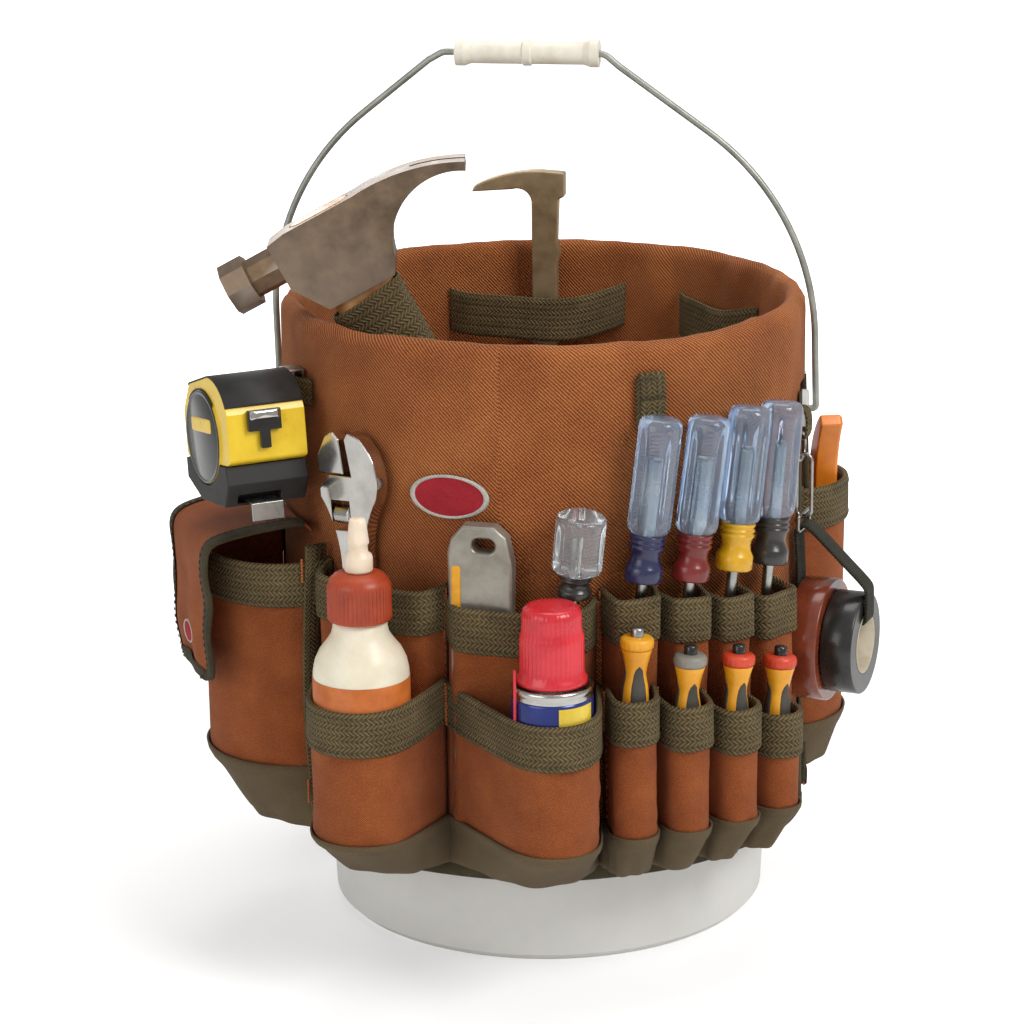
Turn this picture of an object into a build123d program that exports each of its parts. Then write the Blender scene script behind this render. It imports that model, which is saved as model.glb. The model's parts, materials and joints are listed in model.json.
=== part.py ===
from build123d import *
from math import sin, cos, acos, atan2, radians, degrees
import os

# Tool bucket organizer: a canvas skirt with pockets, worn by a moulded five-gallon pail,
# with the hand tools that its pockets, loops and strap carry.
# +Z is up, the origin is the centre of the pail's flat bottom, and the bail's ears lie on X.
# Places round the pail are given as an angle from the front (-Y), growing towards +X.

# ---- pail ----
pail_height = 368.0
pail_base_r = 131.0
pail_shoulder_r = 147.0
pail_shoulder_z = 350.0
pail_lip_r = 151.0
pail_wall = 2.2
pail_floor = 3.0
rib_r = 149.5
rib_gap = 16.0

# ---- bail ----
ear_z = 305.0
ear_r = 11.0
ear_face_x = 157.0
bail_half_width = 161.7
bail_wire_r = 2.0
bail_hole_clearance = 0.08
bail_end_depth = 8.0
bail_grip_z = 512.0
bail_lean = 8.0
grip_length = 84.0
grip_r = 6.6
grip_clearance = 0.3

# ---- canvas ----
canvas = 1.4
sewn_gap = 0.3
rim_drop_z = 322.0
rim_outer_r = 154.6
rim_top_z = 370.8
liner_bottom_z = 236.0
liner_clearance = 0.5
skirt_waist_z = 240.0
skirt_waist_r = 156.4
skirt_hem_r = 158.0
skirt_hem_z = 62.0
slit_half_angle = 7.0

# ---- webbing ----
web = 1.4
web_height = 25.0
binding = 1.2
binding_height = 9.0

# ---- pocket rows, as angles of the seams ----
left_edge_a = -42.0
seam_a = -11.0
sleeve_start_a = 19.4
upper_seams = [20.4, 31.6, 41.8, 51.4, 64.0]
lower_seams = [20.0, 29.2, 38.8, 48.2, 58.4]
seam_gap_a = 0.35
pocket_floor_z = 100.0
base_bottom_z = 73.0
base_top_z = 100.0
base_tuck = 8.0
corner_share = 0.3
upper_front_r = 174.6
sleeve_front_r = 178.0
upper_left_top = 237.0
upper_middle_top = 231.0
upper_sleeve_tops = [236.0, 232.0, 228.0, 223.0]
lower_left_top = 183.0
lower_middle_top = 181.0
lower_sleeve_tops = [183.0, 176.0, 169.0, 159.0]

# ---- flap pocket, on the left ----
flap_a0 = -79.6
flap_a1 = -43.5
flap_a = -61.5
flap_side_r = 184.0
flap_round = (flap_a, 154.0, 56.0)
flap_pocket_top = 238.0
flap_base_top = 112.0
flap_width = 88.0
flap_root_r = 156.9
flap_root_z = 256.0
flap_drop_r = 218.0
flap_fold_z = 247.0
flap_tip_z = 162.0

# ---- side pocket, on the right of the slit, and the back row ----
side_a0 = 100.4
side_a1 = 126.0
side_top = 252.0
side_side_r = 178.0
back_round_centre_r = 140.0
back_round = 47.0
back_seams = [127.0, 158.0, 202.0, 233.0, 259.6]
back_tops = [214.0, 226.0, 214.0, 232.0]
back_side_r = 177.0

# ---- tools ----
tool_gap = 0.5
pocket_slack = 0.9
sleeve_slack = 1.8
driver_angles = [27.6, 37.4, 47.4, 57.2]
driver_leans = [7.0, 8.0, 8.0, 7.0]
driver_collar_z = [242.0, 239.0, 240.0, 237.4]
driver_r = 170.8
driver_handle_r = 12.2
driver_handle = 66.0
driver_collar = 27.0
driver_collar_r = 10.6
driver_shaft_r = 3.2
driver_shaft = 78.0
stubby_a = 14.6
stubby_z = 236.0
stubby_r = 169.8
stubby_tip = 6.0
stubby_handle_r = 14.0
stubby_handle = 34.0
stubby_collar = 14.0
stubby_shaft = 60.0
nut_angles = [24.6, 34.2, 43.8, 53.4]
nut_leans = [2.0, 3.0, 4.0, 4.0]
nut_shift = 0.6
nut_tops = [222.0, 208.0, 203.0, 195.0]
nut_r = 190.6
nut_head_r = 9.6
nut_length = 84.0
bottle_a = -21.0
bottle_r = 27.0
bottle_bottom = 98.5
bottle_shoulder = 202.0
bottle_neck = 226.0
can_a = 10.2
can_r = 22.8
can_bottom = 98.5
can_top = 196.0
can_cap_top = 240.0
knife_a = -3.0
knife_width = 37.0
knife_thick = 11.0
knife_top = 275.0
knife_bottom = 103.3
wrench_a = -32.5
wrench_lean = 6.0
wrench_thick = 9.0
wrench_head_z = 284.0
tape_a = -55.0
tape_r = 190.0
tape_z = 307.0
tape_width = 72.0
tape_height = 74.0
tape_thick = 47.0
tape_lean = -8.0
tape_disc_r = 27.0
hammer_eye = (-108.0, -80.0, 417.0)
hammer_tilt = 28.0
hammer_yaw = 10.0
paw_y = 129.6
paw_x = -20.0
paw_top = 420.0
paw_thick = 9.0
roll_a = 77.0
roll_z = 176.0
roll_width = 19.0
roll_core_r = 16.5
brown_roll_r = 36.0
black_roll_r = 30.0
roll_back_r = 163.0
strap_half = 8.0
front_loop_a = 31.0
front_loop_z = 341.0
strap_loop_z = 305.0
strap_loop_tall = 20.0
strap_loop_stand = 10.0
strap_loop_width = 9.0
ring_size = 16.0
clip_length = 38.0
clip_width = 9.0
clip_shift = 2.3
d_ring_height = 9.0
snips_a = 108.0
snips_r = 171.5
snips_z = 240.0


def polar(angle, radius, z=None):
    """A point at an angle from the front and a distance from the pail's axis."""
    x = radius * sin(radians(angle))
    y = -radius * cos(radians(angle))
    return (x, y) if z is None else (x, y, z)


def radial_plane(angle):
    """Local X runs outward from the pail's axis and local Y runs up."""
    ax = radians(angle)
    return Plane(origin=(0, 0, 0), x_dir=(sin(ax), -cos(ax), 0), z_dir=(-cos(ax), -sin(ax), 0))


def facing_plane(angle, radius, z, lean=0.0, tip=0.0):
    """Local X runs round the pail, local Y up and local Z outward.

    lean turns the upright sideways, towards +X, and tip turns its top outward.
    """
    ax = radians(angle)
    out = Vector(sin(ax), -cos(ax), 0)
    around = Vector(cos(ax), sin(ax), 0)
    upright = Vector(0, 0, 1) * cos(radians(tip)) + out * sin(radians(tip))
    side = around * cos(radians(lean)) - upright * sin(radians(lean))
    face = out * cos(radians(tip)) - Vector(0, 0, 1) * sin(radians(tip))
    return Plane(origin=polar(angle, radius, z), x_dir=side, z_dir=face)


def edge_plane(angle, radius, z):
    """Local X runs outward, local Y up and local Z round the pail, towards the lower angles."""
    flat = radial_plane(angle)
    return Plane(origin=polar(angle, radius, z), x_dir=flat.x_dir, z_dir=flat.z_dir)


def finish(part, label):
    part.label = label
    export_step(part, f"parts/{label}.step")


def skirt_radius(z):
    """Outer radius of the skirt's canvas at a height."""
    if z >= skirt_waist_z:
        share = (z - skirt_waist_z) / (rim_drop_z - skirt_waist_z)
        return skirt_waist_r + (rim_outer_r - skirt_waist_r) * share
    share = (skirt_waist_z - z) / (skirt_waist_z - skirt_hem_z)
    return skirt_waist_r + (skirt_hem_r - skirt_waist_r) * share


def pail_radius(z):
    """Outer radius of the pail's plain wall at a height."""
    return pail_base_r + (pail_shoulder_r - pail_base_r) * z / pail_shoulder_z


def sector(outline, a0, a1):
    """A ring sector: an outline of (radius, height) points turned from a0 to a1."""
    with BuildPart() as ring:
        with BuildSketch(radial_plane(a0)):
            with BuildLine():
                Polyline(*outline, close=True)
            make_face()
        revolve(axis=Axis.Z, revolution_arc=a1 - a0)
    return ring.part


def band(r0, r1, z0, z1):
    return [(r0, z0), (r1, z0), (r1, z1), (r0, z1)]


def sector_cup(a0, a1, r_back, r_front, z0, z1):
    """A flat pocket: front, side and bottom walls, open to the skirt behind it."""
    side = degrees(canvas / r_front)
    with BuildPart() as cup:
        add(sector(band(r_back, r_front, z0, z1), a0, a1))
        add(sector(band(r_back - 1, r_front - canvas, z0 + canvas, z1 + 1), a0 + side, a1 - side),
            mode=Mode.SUBTRACT)
    return cup.part


def touch_point(corner, centre, radius, turn):
    """Where a straight side from a corner runs on to the round of a held thing."""
    gap = Vector(*corner) - Vector(*centre)
    swing = acos(radius / gap.length) * turn
    heading = atan2(gap.Y, gap.X) + swing
    return (centre[0] + radius * cos(heading), centre[1] + radius * sin(heading))


def bulge_wire(a0, a1, r_side, held, grow):
    """Front of a bulging pocket: straight sides run on to a round of (angle, radius, round)."""
    start = polar(a0, r_side + grow * corner_share)
    end = polar(a1, r_side + grow * corner_share)
    centre = polar(held[0], held[1])
    reach = held[2] + grow
    Line(start, touch_point(start, centre, reach, 1))
    ThreePointArc(touch_point(start, centre, reach, 1), polar(held[0], held[1] + reach),
                  touch_point(end, centre, reach, -1))
    Line(touch_point(end, centre, reach, -1), end)


def bulge_outline(a0, a1, r_back, r_side, held, grow=0.0):
    """Plan of a bulging pocket, closed by an arc that follows what it is sewn to."""
    with BuildSketch(mode=Mode.PRIVATE) as plan:
        with BuildLine():
            Line(polar(a0, r_back), polar(a0, r_side + grow * corner_share))
            bulge_wire(a0, a1, r_side, held, grow)
            Line(polar(a1, r_side + grow * corner_share), polar(a1, r_back))
            ThreePointArc(polar(a1, r_back), polar((a0 + a1) / 2, r_back), polar(a0, r_back))
        make_face()
    return plan.sketch


def bulge_tube(a0, a1, r_back, r_side, held, z0, z1):
    """The canvas of a bulging pocket above its base, open at the top and to the back."""
    side = degrees(canvas / r_side)
    with BuildPart() as tube:
        with BuildSketch(Plane.XY.offset(z0)):
            add(bulge_outline(a0, a1, r_back, r_side, held))
            add(bulge_outline(a0 + side, a1 - side, r_back - 1, r_side, held, -canvas),
                mode=Mode.SUBTRACT)
        extrude(amount=z1 - z0)
    return tube.part


def bulge_base(a0, a1, r_back, r_side, held, z0, z1):
    """The reinforced bottom of a bulging pocket, drawn in towards the hem."""
    side = degrees(canvas / r_side)
    tucked = (held[0], held[1] - base_tuck, held[2])
    with BuildPart() as base:
        with BuildSketch(Plane.XY.offset(z0)):
            add(bulge_outline(a0, a1, r_back, r_side - base_tuck, tucked))
        with BuildSketch(Plane.XY.offset(z1)):
            add(bulge_outline(a0, a1, r_back, r_side, held))
        loft(ruled=True)
        with BuildSketch(Plane.XY.offset(z0 + canvas)):
            add(bulge_outline(a0 + side, a1 - side, r_back + 2, r_side - base_tuck, tucked,
                              -canvas))
        with BuildSketch(Plane.XY.offset(z1)):
            add(bulge_outline(a0 + side, a1 - side, r_back + 2, r_side, held, -canvas))
        loft(ruled=True, mode=Mode.SUBTRACT)
    return base.part


def bulge_band(a0, a1, r_side, held, z0, z1, thick=web):
    """A strip of webbing sewn along the outside of a bulging pocket."""
    with BuildPart() as strip:
        with BuildSketch(Plane.XY.offset(z0)):
            add(bulge_outline(a0, a1, r_side - 1, r_side, held, sewn_gap + thick))
            add(bulge_outline(a0, a1, r_side - 2, r_side, held, sewn_gap),
                mode=Mode.SUBTRACT)
        extrude(amount=z1 - z0)
    return strip.part


def arched_band(a0, a1, r_wall, stand, z0, z1):
    """A strip of webbing sewn down at both ends and arched between them.

    Its inner face is the arc through both ends and a middle that stands off the wall.
    """
    middle = (a0 + a1) / 2
    half = cos(radians((a1 - a0) / 2))
    peak_r = r_wall + stand
    centre_r = (peak_r ** 2 - r_wall ** 2) / (2 * (peak_r - r_wall * half))
    centre = Vector(*polar(middle, centre_r))
    start = Vector(*polar(a0, r_wall)) - centre
    peak = Vector(*polar(middle, peak_r)) - centre
    turn = start.get_angle(peak) * (1 if start.cross(peak).Z > 0 else -1)
    heading = degrees(atan2(start.Y, start.X))
    with BuildPart() as strip:
        with BuildSketch(Plane.XY.offset(z0)):
            with BuildLine():
                inner = CenterArc(centre, start.length, heading, 2 * turn)
                outer = CenterArc(centre, start.length + web, heading, 2 * turn)
                Line(inner @ 0, outer @ 0)
                Line(inner @ 1, outer @ 1)
            make_face()
        extrude(amount=z1 - z0)
    return strip.part


def together(*parts):
    """Separate solids that share one node."""
    return Compound(children=[solid for part in parts for solid in part.solids()])


def turned(plane, *profile):
    """A piece turned about the plane's upright axis, from (radius, height) points."""
    with BuildPart() as piece:
        with BuildSketch(plane):
            with BuildLine():
                Polyline(*profile, close=True)
            make_face()
        revolve(axis=Axis(plane.origin, plane.y_dir))
    return piece.part


# ================= pail =================
inner_shoulder = pail_shoulder_r - pail_wall
with BuildPart() as pail:
    with BuildSketch(Plane.XZ):
        with BuildLine():
            Polyline(
                (0, 0), (pail_base_r - 4, 0), (pail_base_r, 4),
                (pail_radius(290), 290), (rib_r, 290), (rib_r, 292),
                (pail_radius(292), 292), (pail_radius(292 + rib_gap * 2), 292 + rib_gap * 2),
                (rib_r, 292 + rib_gap * 2), (rib_r, 294 + rib_gap * 2),
                (pail_radius(294 + rib_gap * 2), 294 + rib_gap * 2),
                (pail_shoulder_r, pail_shoulder_z), (pail_lip_r, pail_shoulder_z + 2),
                (pail_lip_r, pail_height - 2), (pail_lip_r - 2, pail_height),
                (inner_shoulder, pail_height), (inner_shoulder, pail_shoulder_z),
                (pail_base_r - pail_wall, pail_floor), (0, pail_floor), close=True)
        make_face()
    revolve(axis=Axis.Z)
    for side in (1, -1):
        ear_plane = Plane(origin=(side * ear_face_x, 0, ear_z), x_dir=(0, 1, 0),
                          z_dir=(-side, 0, 0))
        with BuildSketch(ear_plane):
            Circle(ear_r)
        extrude(amount=ear_face_x - pail_radius(ear_z - ear_r) + 1.0)
        with BuildSketch(ear_plane):
            Circle(bail_wire_r + bail_hole_clearance)
        extrude(amount=bail_end_depth + 1.0, mode=Mode.SUBTRACT)
finish(pail.part, "pail")

# ================= bail =================
ear_x = bail_half_width
grip_centre = -bail_lean
wire_end_x = ear_face_x - bail_end_depth
with BuildPart() as bail_wire:
    with BuildLine() as wire_path:
        FilletPolyline(
            (-wire_end_x, 0, ear_z), (-ear_x, 0, ear_z), (-ear_x - 2, 0, 430),
            (-58 - bail_lean * 1.1, 0, bail_grip_z - 5), (-50 - bail_lean, 0, bail_grip_z),
            (45 - bail_lean, 0, bail_grip_z), (54 - bail_lean * 1.1, 0, bail_grip_z - 7),
            (ear_x - 3, 0, 424), (ear_x, 0, ear_z), (wire_end_x, 0, ear_z),
            radius=[2.05, 150, 9, 9, 9, 9, 150, 2.05])
    with BuildSketch(Plane(origin=(-wire_end_x, 0, ear_z), z_dir=(-1, 0, 0))):
        Circle(bail_wire_r)
    sweep(path=wire_path.line)
finish(bail_wire.part, "bail_wire")

grip_plane = Plane(origin=(grip_centre - grip_length / 2, 0, bail_grip_z),
                   x_dir=(0, 0, 1), z_dir=(0, 1, 0))
bore = bail_wire_r + grip_clearance
with BuildPart() as bail_grip:
    with BuildSketch(grip_plane):
        with BuildLine():
            Polyline((bore, 0), (grip_r + 1.4, 0), (grip_r + 1.4, 5), (grip_r, 9),
                     (grip_r, grip_length / 2 - 3), (grip_r + 1, grip_length / 2 - 2),
                     (grip_r + 1, grip_length / 2 + 2), (grip_r, grip_length / 2 + 3),
                     (grip_r, grip_length - 9), (grip_r + 1.4, grip_length - 5),
                     (grip_r + 1.4, grip_length), (bore, grip_length), close=True)
        make_face()
    revolve(axis=Axis((0, 0, bail_grip_z), (1, 0, 0)))
finish(bail_grip.part, "bail_grip")

# ================= rim, liner and skirts =================
liner_top_r = inner_shoulder - liner_clearance
liner_low_r = pail_radius(liner_bottom_z) - pail_wall - liner_clearance
wrap_in = rim_top_z - canvas
rim_wrap = sector(
    [(rim_outer_r, rim_drop_z), (rim_outer_r, rim_top_z - 6), (rim_outer_r - 5, rim_top_z),
     (liner_top_r + 1.6, rim_top_z), (liner_top_r - canvas, rim_top_z - 3),
     (liner_top_r - canvas, pail_shoulder_z), (liner_top_r, pail_shoulder_z),
     (liner_top_r, wrap_in - 0.6), (liner_top_r + 2, wrap_in), (rim_outer_r - 6, wrap_in),
     (rim_outer_r - canvas, rim_top_z - 7), (rim_outer_r - canvas, rim_drop_z)], 0, 360)
finish(rim_wrap, "rim_wrap")

liner = sector(
    [(liner_top_r - canvas, 350 - sewn_gap), (liner_top_r, 350 - sewn_gap),
     (liner_low_r, liner_bottom_z), (liner_low_r - canvas, liner_bottom_z)], 0, 360)
finish(liner, "liner")

skirt_top = rim_drop_z - sewn_gap
skirt_outline = [
    (skirt_radius(skirt_top), skirt_top), (skirt_waist_r, skirt_waist_z),
    (skirt_hem_r, skirt_hem_z), (skirt_hem_r - canvas, skirt_hem_z),
    (skirt_waist_r - canvas, skirt_waist_z), (skirt_radius(skirt_top) - canvas, skirt_top)]
front_a = 90 - slit_half_angle
finish(sector(skirt_outline, -front_a, front_a), "front_skirt")
finish(sector(skirt_outline, 180 - front_a, 180 + front_a), "back_skirt")

# hem tape round each half, just under the pockets
hem_r = skirt_hem_r + sewn_gap
hem = band(hem_r, hem_r + binding, skirt_hem_z, skirt_hem_z + binding_height)
finish(together(sector(hem, -front_a, front_a), sector(hem, 180 - front_a, 180 + front_a)),
       "hem_binding")

# tape on the four upright edges of the slits, and on the front panel's left edge
edge_r = skirt_hem_r + sewn_gap
edge_width_a = 2.2
edge_outline = band(edge_r, edge_r + binding, skirt_hem_z + binding_height + 1, skirt_top - 2)
edge_strips = [sector(edge_outline, start, start + edge_width_a)
               for start in (-front_a + 0.2, front_a - edge_width_a - 0.2,
                             180 - front_a + 0.2, 180 + front_a - edge_width_a - 0.2)]
finish(together(*edge_strips), "slit_bindings")

# ================= front pockets, upper row =================
upper_back_r = skirt_hem_r + sewn_gap
upper_wide = [(left_edge_a, seam_a, upper_left_top), (seam_a, sleeve_start_a, upper_middle_top)]
finish(together(*[sector_cup(a0 + seam_gap_a, a1 - seam_gap_a, upper_back_r, upper_front_r,
                             pocket_floor_z, top) for a0, a1, top in upper_wide]),
       "upper_pockets")
upper_sleeves = list(zip(upper_seams[:-1], upper_seams[1:], upper_sleeve_tops))
finish(together(*[sector_cup(a0 + seam_gap_a, a1 - seam_gap_a, upper_back_r, sleeve_front_r,
                             pocket_floor_z, top) for a0, a1, top in upper_sleeves]),
       "upper_sleeves")


def upper_web(a0, a1, radius, top):
    low = radius + sewn_gap
    outline = band(low, low + web, top - web_height, top)
    return sector(outline, a0 + seam_gap_a, a1 - seam_gap_a)


finish(together(*[upper_web(a0, a1, upper_front_r, top) for a0, a1, top in upper_wide],
                *[upper_web(a0, a1, sleeve_front_r, top) for a0, a1, top in upper_sleeves]),
       "upper_webbing")

# ================= front pockets, lower row =================
lower_back_r = upper_front_r + sewn_gap
bottle_axis_r = lower_back_r + web + sewn_gap + bottle_r
can_axis_r = lower_back_r + web + sewn_gap + can_r
lower_pockets = [
    (left_edge_a, seam_a, lower_back_r, lower_back_r + 2,
     (bottle_a, bottle_axis_r, bottle_r + canvas + pocket_slack), lower_left_top),
    (seam_a, sleeve_start_a, lower_back_r, lower_back_r + 2,
     (can_a, can_axis_r, can_r + canvas + pocket_slack), lower_middle_top)]
lower_sleeves = [
    (a0, a1, sleeve_front_r + sewn_gap, sleeve_front_r + 2,
     (angle - nut_shift, nut_r, nut_head_r + canvas + sleeve_slack), top)
    for a0, a1, angle, top in zip(lower_seams[:-1], lower_seams[1:], nut_angles,
                                  lower_sleeve_tops)]


def tubes(rows, bottom):
    return [bulge_tube(a0 + seam_gap_a, a1 - seam_gap_a, back, side, held, bottom, top)
            for a0, a1, back, side, held, top in rows]


def bands(rows, height=web_height):
    return [bulge_band(a0 + seam_gap_a, a1 - seam_gap_a, side, held, top - height, top)
            for a0, a1, _, side, held, top in rows]


def bases(rows, bottom, top_z):
    return [bulge_base(a0 + seam_gap_a, a1 - seam_gap_a, hem_r, side, held, bottom, top_z)
            for a0, a1, _, side, held, _ in rows]


finish(together(*tubes(lower_pockets, base_top_z)), "lower_pockets")
finish(together(*tubes(lower_sleeves, base_top_z)), "lower_sleeves")
finish(together(*bands(lower_pockets), *bands(lower_sleeves)), "lower_webbing")

# ================= flap pocket =================
flap_row = [(flap_a0, flap_a1, hem_r, flap_side_r, flap_round, flap_pocket_top)]
finish(together(*tubes(flap_row, flap_base_top)), "flap_pocket")

fold_gap = 0.5
flap_thick = 2.0
with BuildPart() as flap_top:
    with BuildSketch(radial_plane(flap_a)):
        with BuildLine():
            Polyline((flap_root_r, flap_root_z - 8), (flap_root_r + flap_thick, flap_root_z - 8),
                     (flap_root_r + 6, flap_root_z - 2), (flap_drop_r - 14, flap_root_z - 4),
                     (flap_drop_r, flap_fold_z + 0.4), (flap_drop_r + flap_thick, flap_fold_z + 0.4),
                     (flap_drop_r - 12, flap_root_z - 1), (flap_root_r + 5, flap_root_z + 1.5),
                     (flap_root_r, flap_root_z - 3), close=True)
        make_face()
    extrude(amount=flap_width / 2, both=True)
finish(flap_top.part, "flap_top")

with BuildPart() as flap_front:
    drop = flap_fold_z - fold_gap - flap_tip_z
    sheet_plane = facing_plane(flap_a, flap_drop_r, flap_fold_z - fold_gap)
    with BuildSketch(sheet_plane):
        with Locations((0, -drop / 2)):
            RectangleRounded(flap_width, drop, 18)
        with Locations((0, -10)):
            Rectangle(flap_width, 20)
    extrude(amount=flap_thick)
finish(flap_front.part, "pocket_flap")

# ================= side and back pockets =================
side_held = ((side_a0 + side_a1) / 2, back_round_centre_r, back_round)
side_row = [(side_a0, side_a1, hem_r, side_side_r, side_held, side_top)]
finish(together(*tubes(side_row, base_top_z)), "side_pocket")
back_rows = [(a0, a1, hem_r, back_side_r, ((a0 + a1) / 2, back_round_centre_r, back_round), top)
             for a0, a1, top in zip(back_seams[:-1], back_seams[1:], back_tops)]
finish(together(*tubes(back_rows, base_top_z)), "back_pockets")
finish(together(*bands(flap_row), *bands(side_row), *bands(back_rows)), "side_back_webbing")
finish(together(*bases(lower_pockets + lower_sleeves, base_bottom_z, base_top_z - sewn_gap),
                *bases(flap_row, base_bottom_z, flap_base_top - sewn_gap),
                *bases(side_row + back_rows, base_bottom_z, base_top_z - sewn_gap)),
       "pocket_bases")

# ================= sewn-on badge =================
badge_plane = facing_plane(-10.7, skirt_radius(287) + sewn_gap + 0.6, 287)
with BuildPart() as badge:
    with BuildSketch(badge_plane):
        Ellipse(24, 12.8)
    extrude(amount=1.6)
finish(badge.part, "badge")


# ================= web loops =================
def web_loop(angle, z, width, height, stand):
    """A flattened loop of webbing, sewn to the skirt by its back."""
    wall = skirt_radius(min(z, rim_drop_z)) + sewn_gap
    with BuildPart() as loop:
        with BuildSketch(edge_plane(angle, wall, z)):
            with Locations((stand / 2, 0)):
                RectangleRounded(stand, height, stand * 0.45)
                RectangleRounded(stand - 2 * web, height - 2 * web, stand * 0.45 - web,
                                 mode=Mode.SUBTRACT)
        extrude(amount=width / 2, both=True)
    return loop.part


tape_loop_z = 331.0
loop_wall = rim_outer_r + sewn_gap
finish(together(web_loop(front_loop_a, front_loop_z, 15, 31, 3.2),
                web_loop(roll_a, strap_loop_z, strap_loop_width, strap_loop_tall,
                         strap_loop_stand),
                arched_band(tape_a - 6, tape_a + 6, loop_wall, 6.5, tape_loop_z - 8,
                            tape_loop_z + 8)), "web_loops")


def inner_loop(a0, a1, z, height, stand):
    """A strip of webbing standing off the liner between its two sewn ends."""
    wall = pail_radius(z) - pail_wall - liner_clearance - canvas - sewn_gap
    return arched_band(a0, a1, wall, -stand, z, z + height)


finish(inner_loop(-76, -6, 318, 30, 69.3), "hammer_loop")
finish(inner_loop(168, 214, 320, 27, 36), "bar_loop")
finish(inner_loop(122, 152, 320, 27, 14), "spare_loop")

# ================= hammer =================
yaw = radians(hammer_yaw)
tilt = radians(hammer_tilt)
head_dir = (cos(tilt) * cos(yaw), cos(tilt) * sin(yaw), sin(tilt))
hammer_side = (sin(yaw), -cos(yaw), 0)
head_plane = Plane(origin=hammer_eye, x_dir=head_dir, z_dir=hammer_side)
hammer_half = 13.0
with BuildPart() as hammer_head:
    with BuildSketch(head_plane):
        with BuildLine():
            Polyline((-34, -13), (-34, 15), (-22, 17), (22, 17))
            ThreePointArc((22, 17), (55, 15.5), (88, 4))
            Line((88, 4), (86, -1))
            ThreePointArc((86, -1), (48, 1), (27, -26))
            Polyline((27, -26), (22, -34), (-20, -34), (-34, -13))
        make_face()
    extrude(amount=hammer_half, both=True)
    with BuildSketch(Plane(origin=head_plane.origin, x_dir=hammer_side,
                           z_dir=tuple(-v for v in head_dir))):
        with Locations((0, 1)):
            RegularPolygon(11.5, 8)
    extrude(amount=52)
    with BuildSketch(Plane(origin=head_plane.from_local_coords((-52, 1, 0)), x_dir=hammer_side,
                           z_dir=tuple(-v for v in head_dir))):
        RegularPolygon(15.5, 8)
    extrude(amount=15)
    eye = Plane(origin=head_plane.from_local_coords((0, -40, 0)), x_dir=head_dir,
                z_dir=head_plane.y_dir)
    with BuildSketch(eye):
        SlotOverall(38, 18)
        with Locations((80, 0)):
            Rectangle(44, 3.6)
    extrude(amount=70, mode=Mode.SUBTRACT)
finish(hammer_head.part, "hammer_head")

hammer_handle_length = 330.0
with BuildPart() as hammer_handle:
    with BuildSketch(eye.offset(57.4)):
        SlotOverall(37.4, 17.4)
    extrude(amount=-(57.4 + 20))
    with BuildSketch(eye.offset(-20)):
        SlotOverall(37.4, 17.4)
    with BuildSketch(eye.offset(-hammer_handle_length * 0.5)):
        SlotOverall(30, 22)
    with BuildSketch(eye.offset(-hammer_handle_length)):
        SlotOverall(40, 26)
    loft(ruled=True)
finish(hammer_handle.part, "hammer_handle")

# ================= flat bar with a claw =================
bar_plane = Plane(origin=(paw_x, paw_y, paw_top), x_dir=(1, 0, 0), z_dir=(0, -1, 0))
with BuildPart() as flat_bar:
    with BuildSketch(bar_plane):
        with BuildLine():
            Polyline((-46, -14), (-44, -10))
            ThreePointArc((-44, -10), (-22, -2), (-2, 0))
            Polyline((-2, 0), (13, -1), (13, -16), (9, -18), (8, -44), (10, -50), (8, -60),
                     (8, -190), (-8, -198), (-8, -20))
            ThreePointArc((-8, -20), (-12, -13), (-20, -12))
            Line((-20, -12), (-46, -14))
        make_face()
    extrude(amount=paw_thick / 2, both=True)
finish(flat_bar.part, "flat_bar")

# ================= tape measure =================
tape_plane = facing_plane(tape_a, tape_r, tape_z, tape_lean)
half_w = tape_width / 2
half_h = tape_height / 2
with BuildPart() as tape_case:
    with BuildSketch(tape_plane.offset(-tape_thick / 2)):
        with BuildLine():
            Polyline((half_w - 6, -13), (half_w, -11), (half_w, 16))
            ThreePointArc((half_w, 16), (half_w - 9, half_h - 8), (8, half_h - 1))
            Polyline((8, half_h - 1), (-24, half_h - 7), (-half_w, 14), (-half_w, -13),
                     (half_w - 6, -13))
        make_face()
    extrude(amount=tape_thick)
    fillet(tape_case.edges().filter_by(Axis(tape_plane.origin, tape_plane.z_dir)), 3)
    with BuildSketch(tape_plane.offset(tape_thick / 2)):
        with Locations((-4, 1)):
            Circle(tape_disc_r)
    extrude(amount=1.0)
finish(tape_case.part, "tape_case")

with BuildPart() as tape_bumper:
    with BuildSketch(tape_plane.offset(-tape_thick / 2 - 1)):
        with BuildLine():
            Polyline((half_w - 6, -13 - sewn_gap), (half_w - 4, -24), (half_w - 12, -half_h),
                     (-14, -half_h + 1), (-half_w, -25), (-half_w, -13 - sewn_gap), close=True)
        make_face()
    extrude(amount=tape_thick + 2)
    # the slot that the blade comes out of
    mouth = tape_plane.offset(-9)
    with BuildSketch(mouth):
        with Locations((half_w - 8, -half_h + 4)):
            Rectangle(24, 5)
    extrude(amount=26, mode=Mode.SUBTRACT)
    with BuildSketch(tape_plane.offset(tape_thick / 2 - 0.5)):
        with Locations((-4, 1)):
            Circle(tape_disc_r + 0.5)
    extrude(amount=4, mode=Mode.SUBTRACT)
finish(tape_bumper.part, "tape_bumper")

clip_foot = loop_wall + 0.5
tape_back = tape_r - tape_thick / 2 - 0.4
clip_top = tape_loop_z + 12
with BuildPart() as tape_clip:
    with BuildSketch(radial_plane(tape_a)):
        with BuildLine():
            Polyline((tape_back, tape_z - 8), (tape_back, clip_top), (clip_foot, clip_top),
                     (clip_foot, clip_top - 16), (clip_foot + 1.2, clip_top - 16),
                     (clip_foot + 1.2, clip_top - 1.2), (tape_back - 1.2, clip_top - 1.2),
                     (tape_back - 1.2, tape_z - 8), close=True)
        make_face()
    extrude(amount=6, both=True)
finish(tape_clip.part, "tape_belt_clip")

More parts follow.
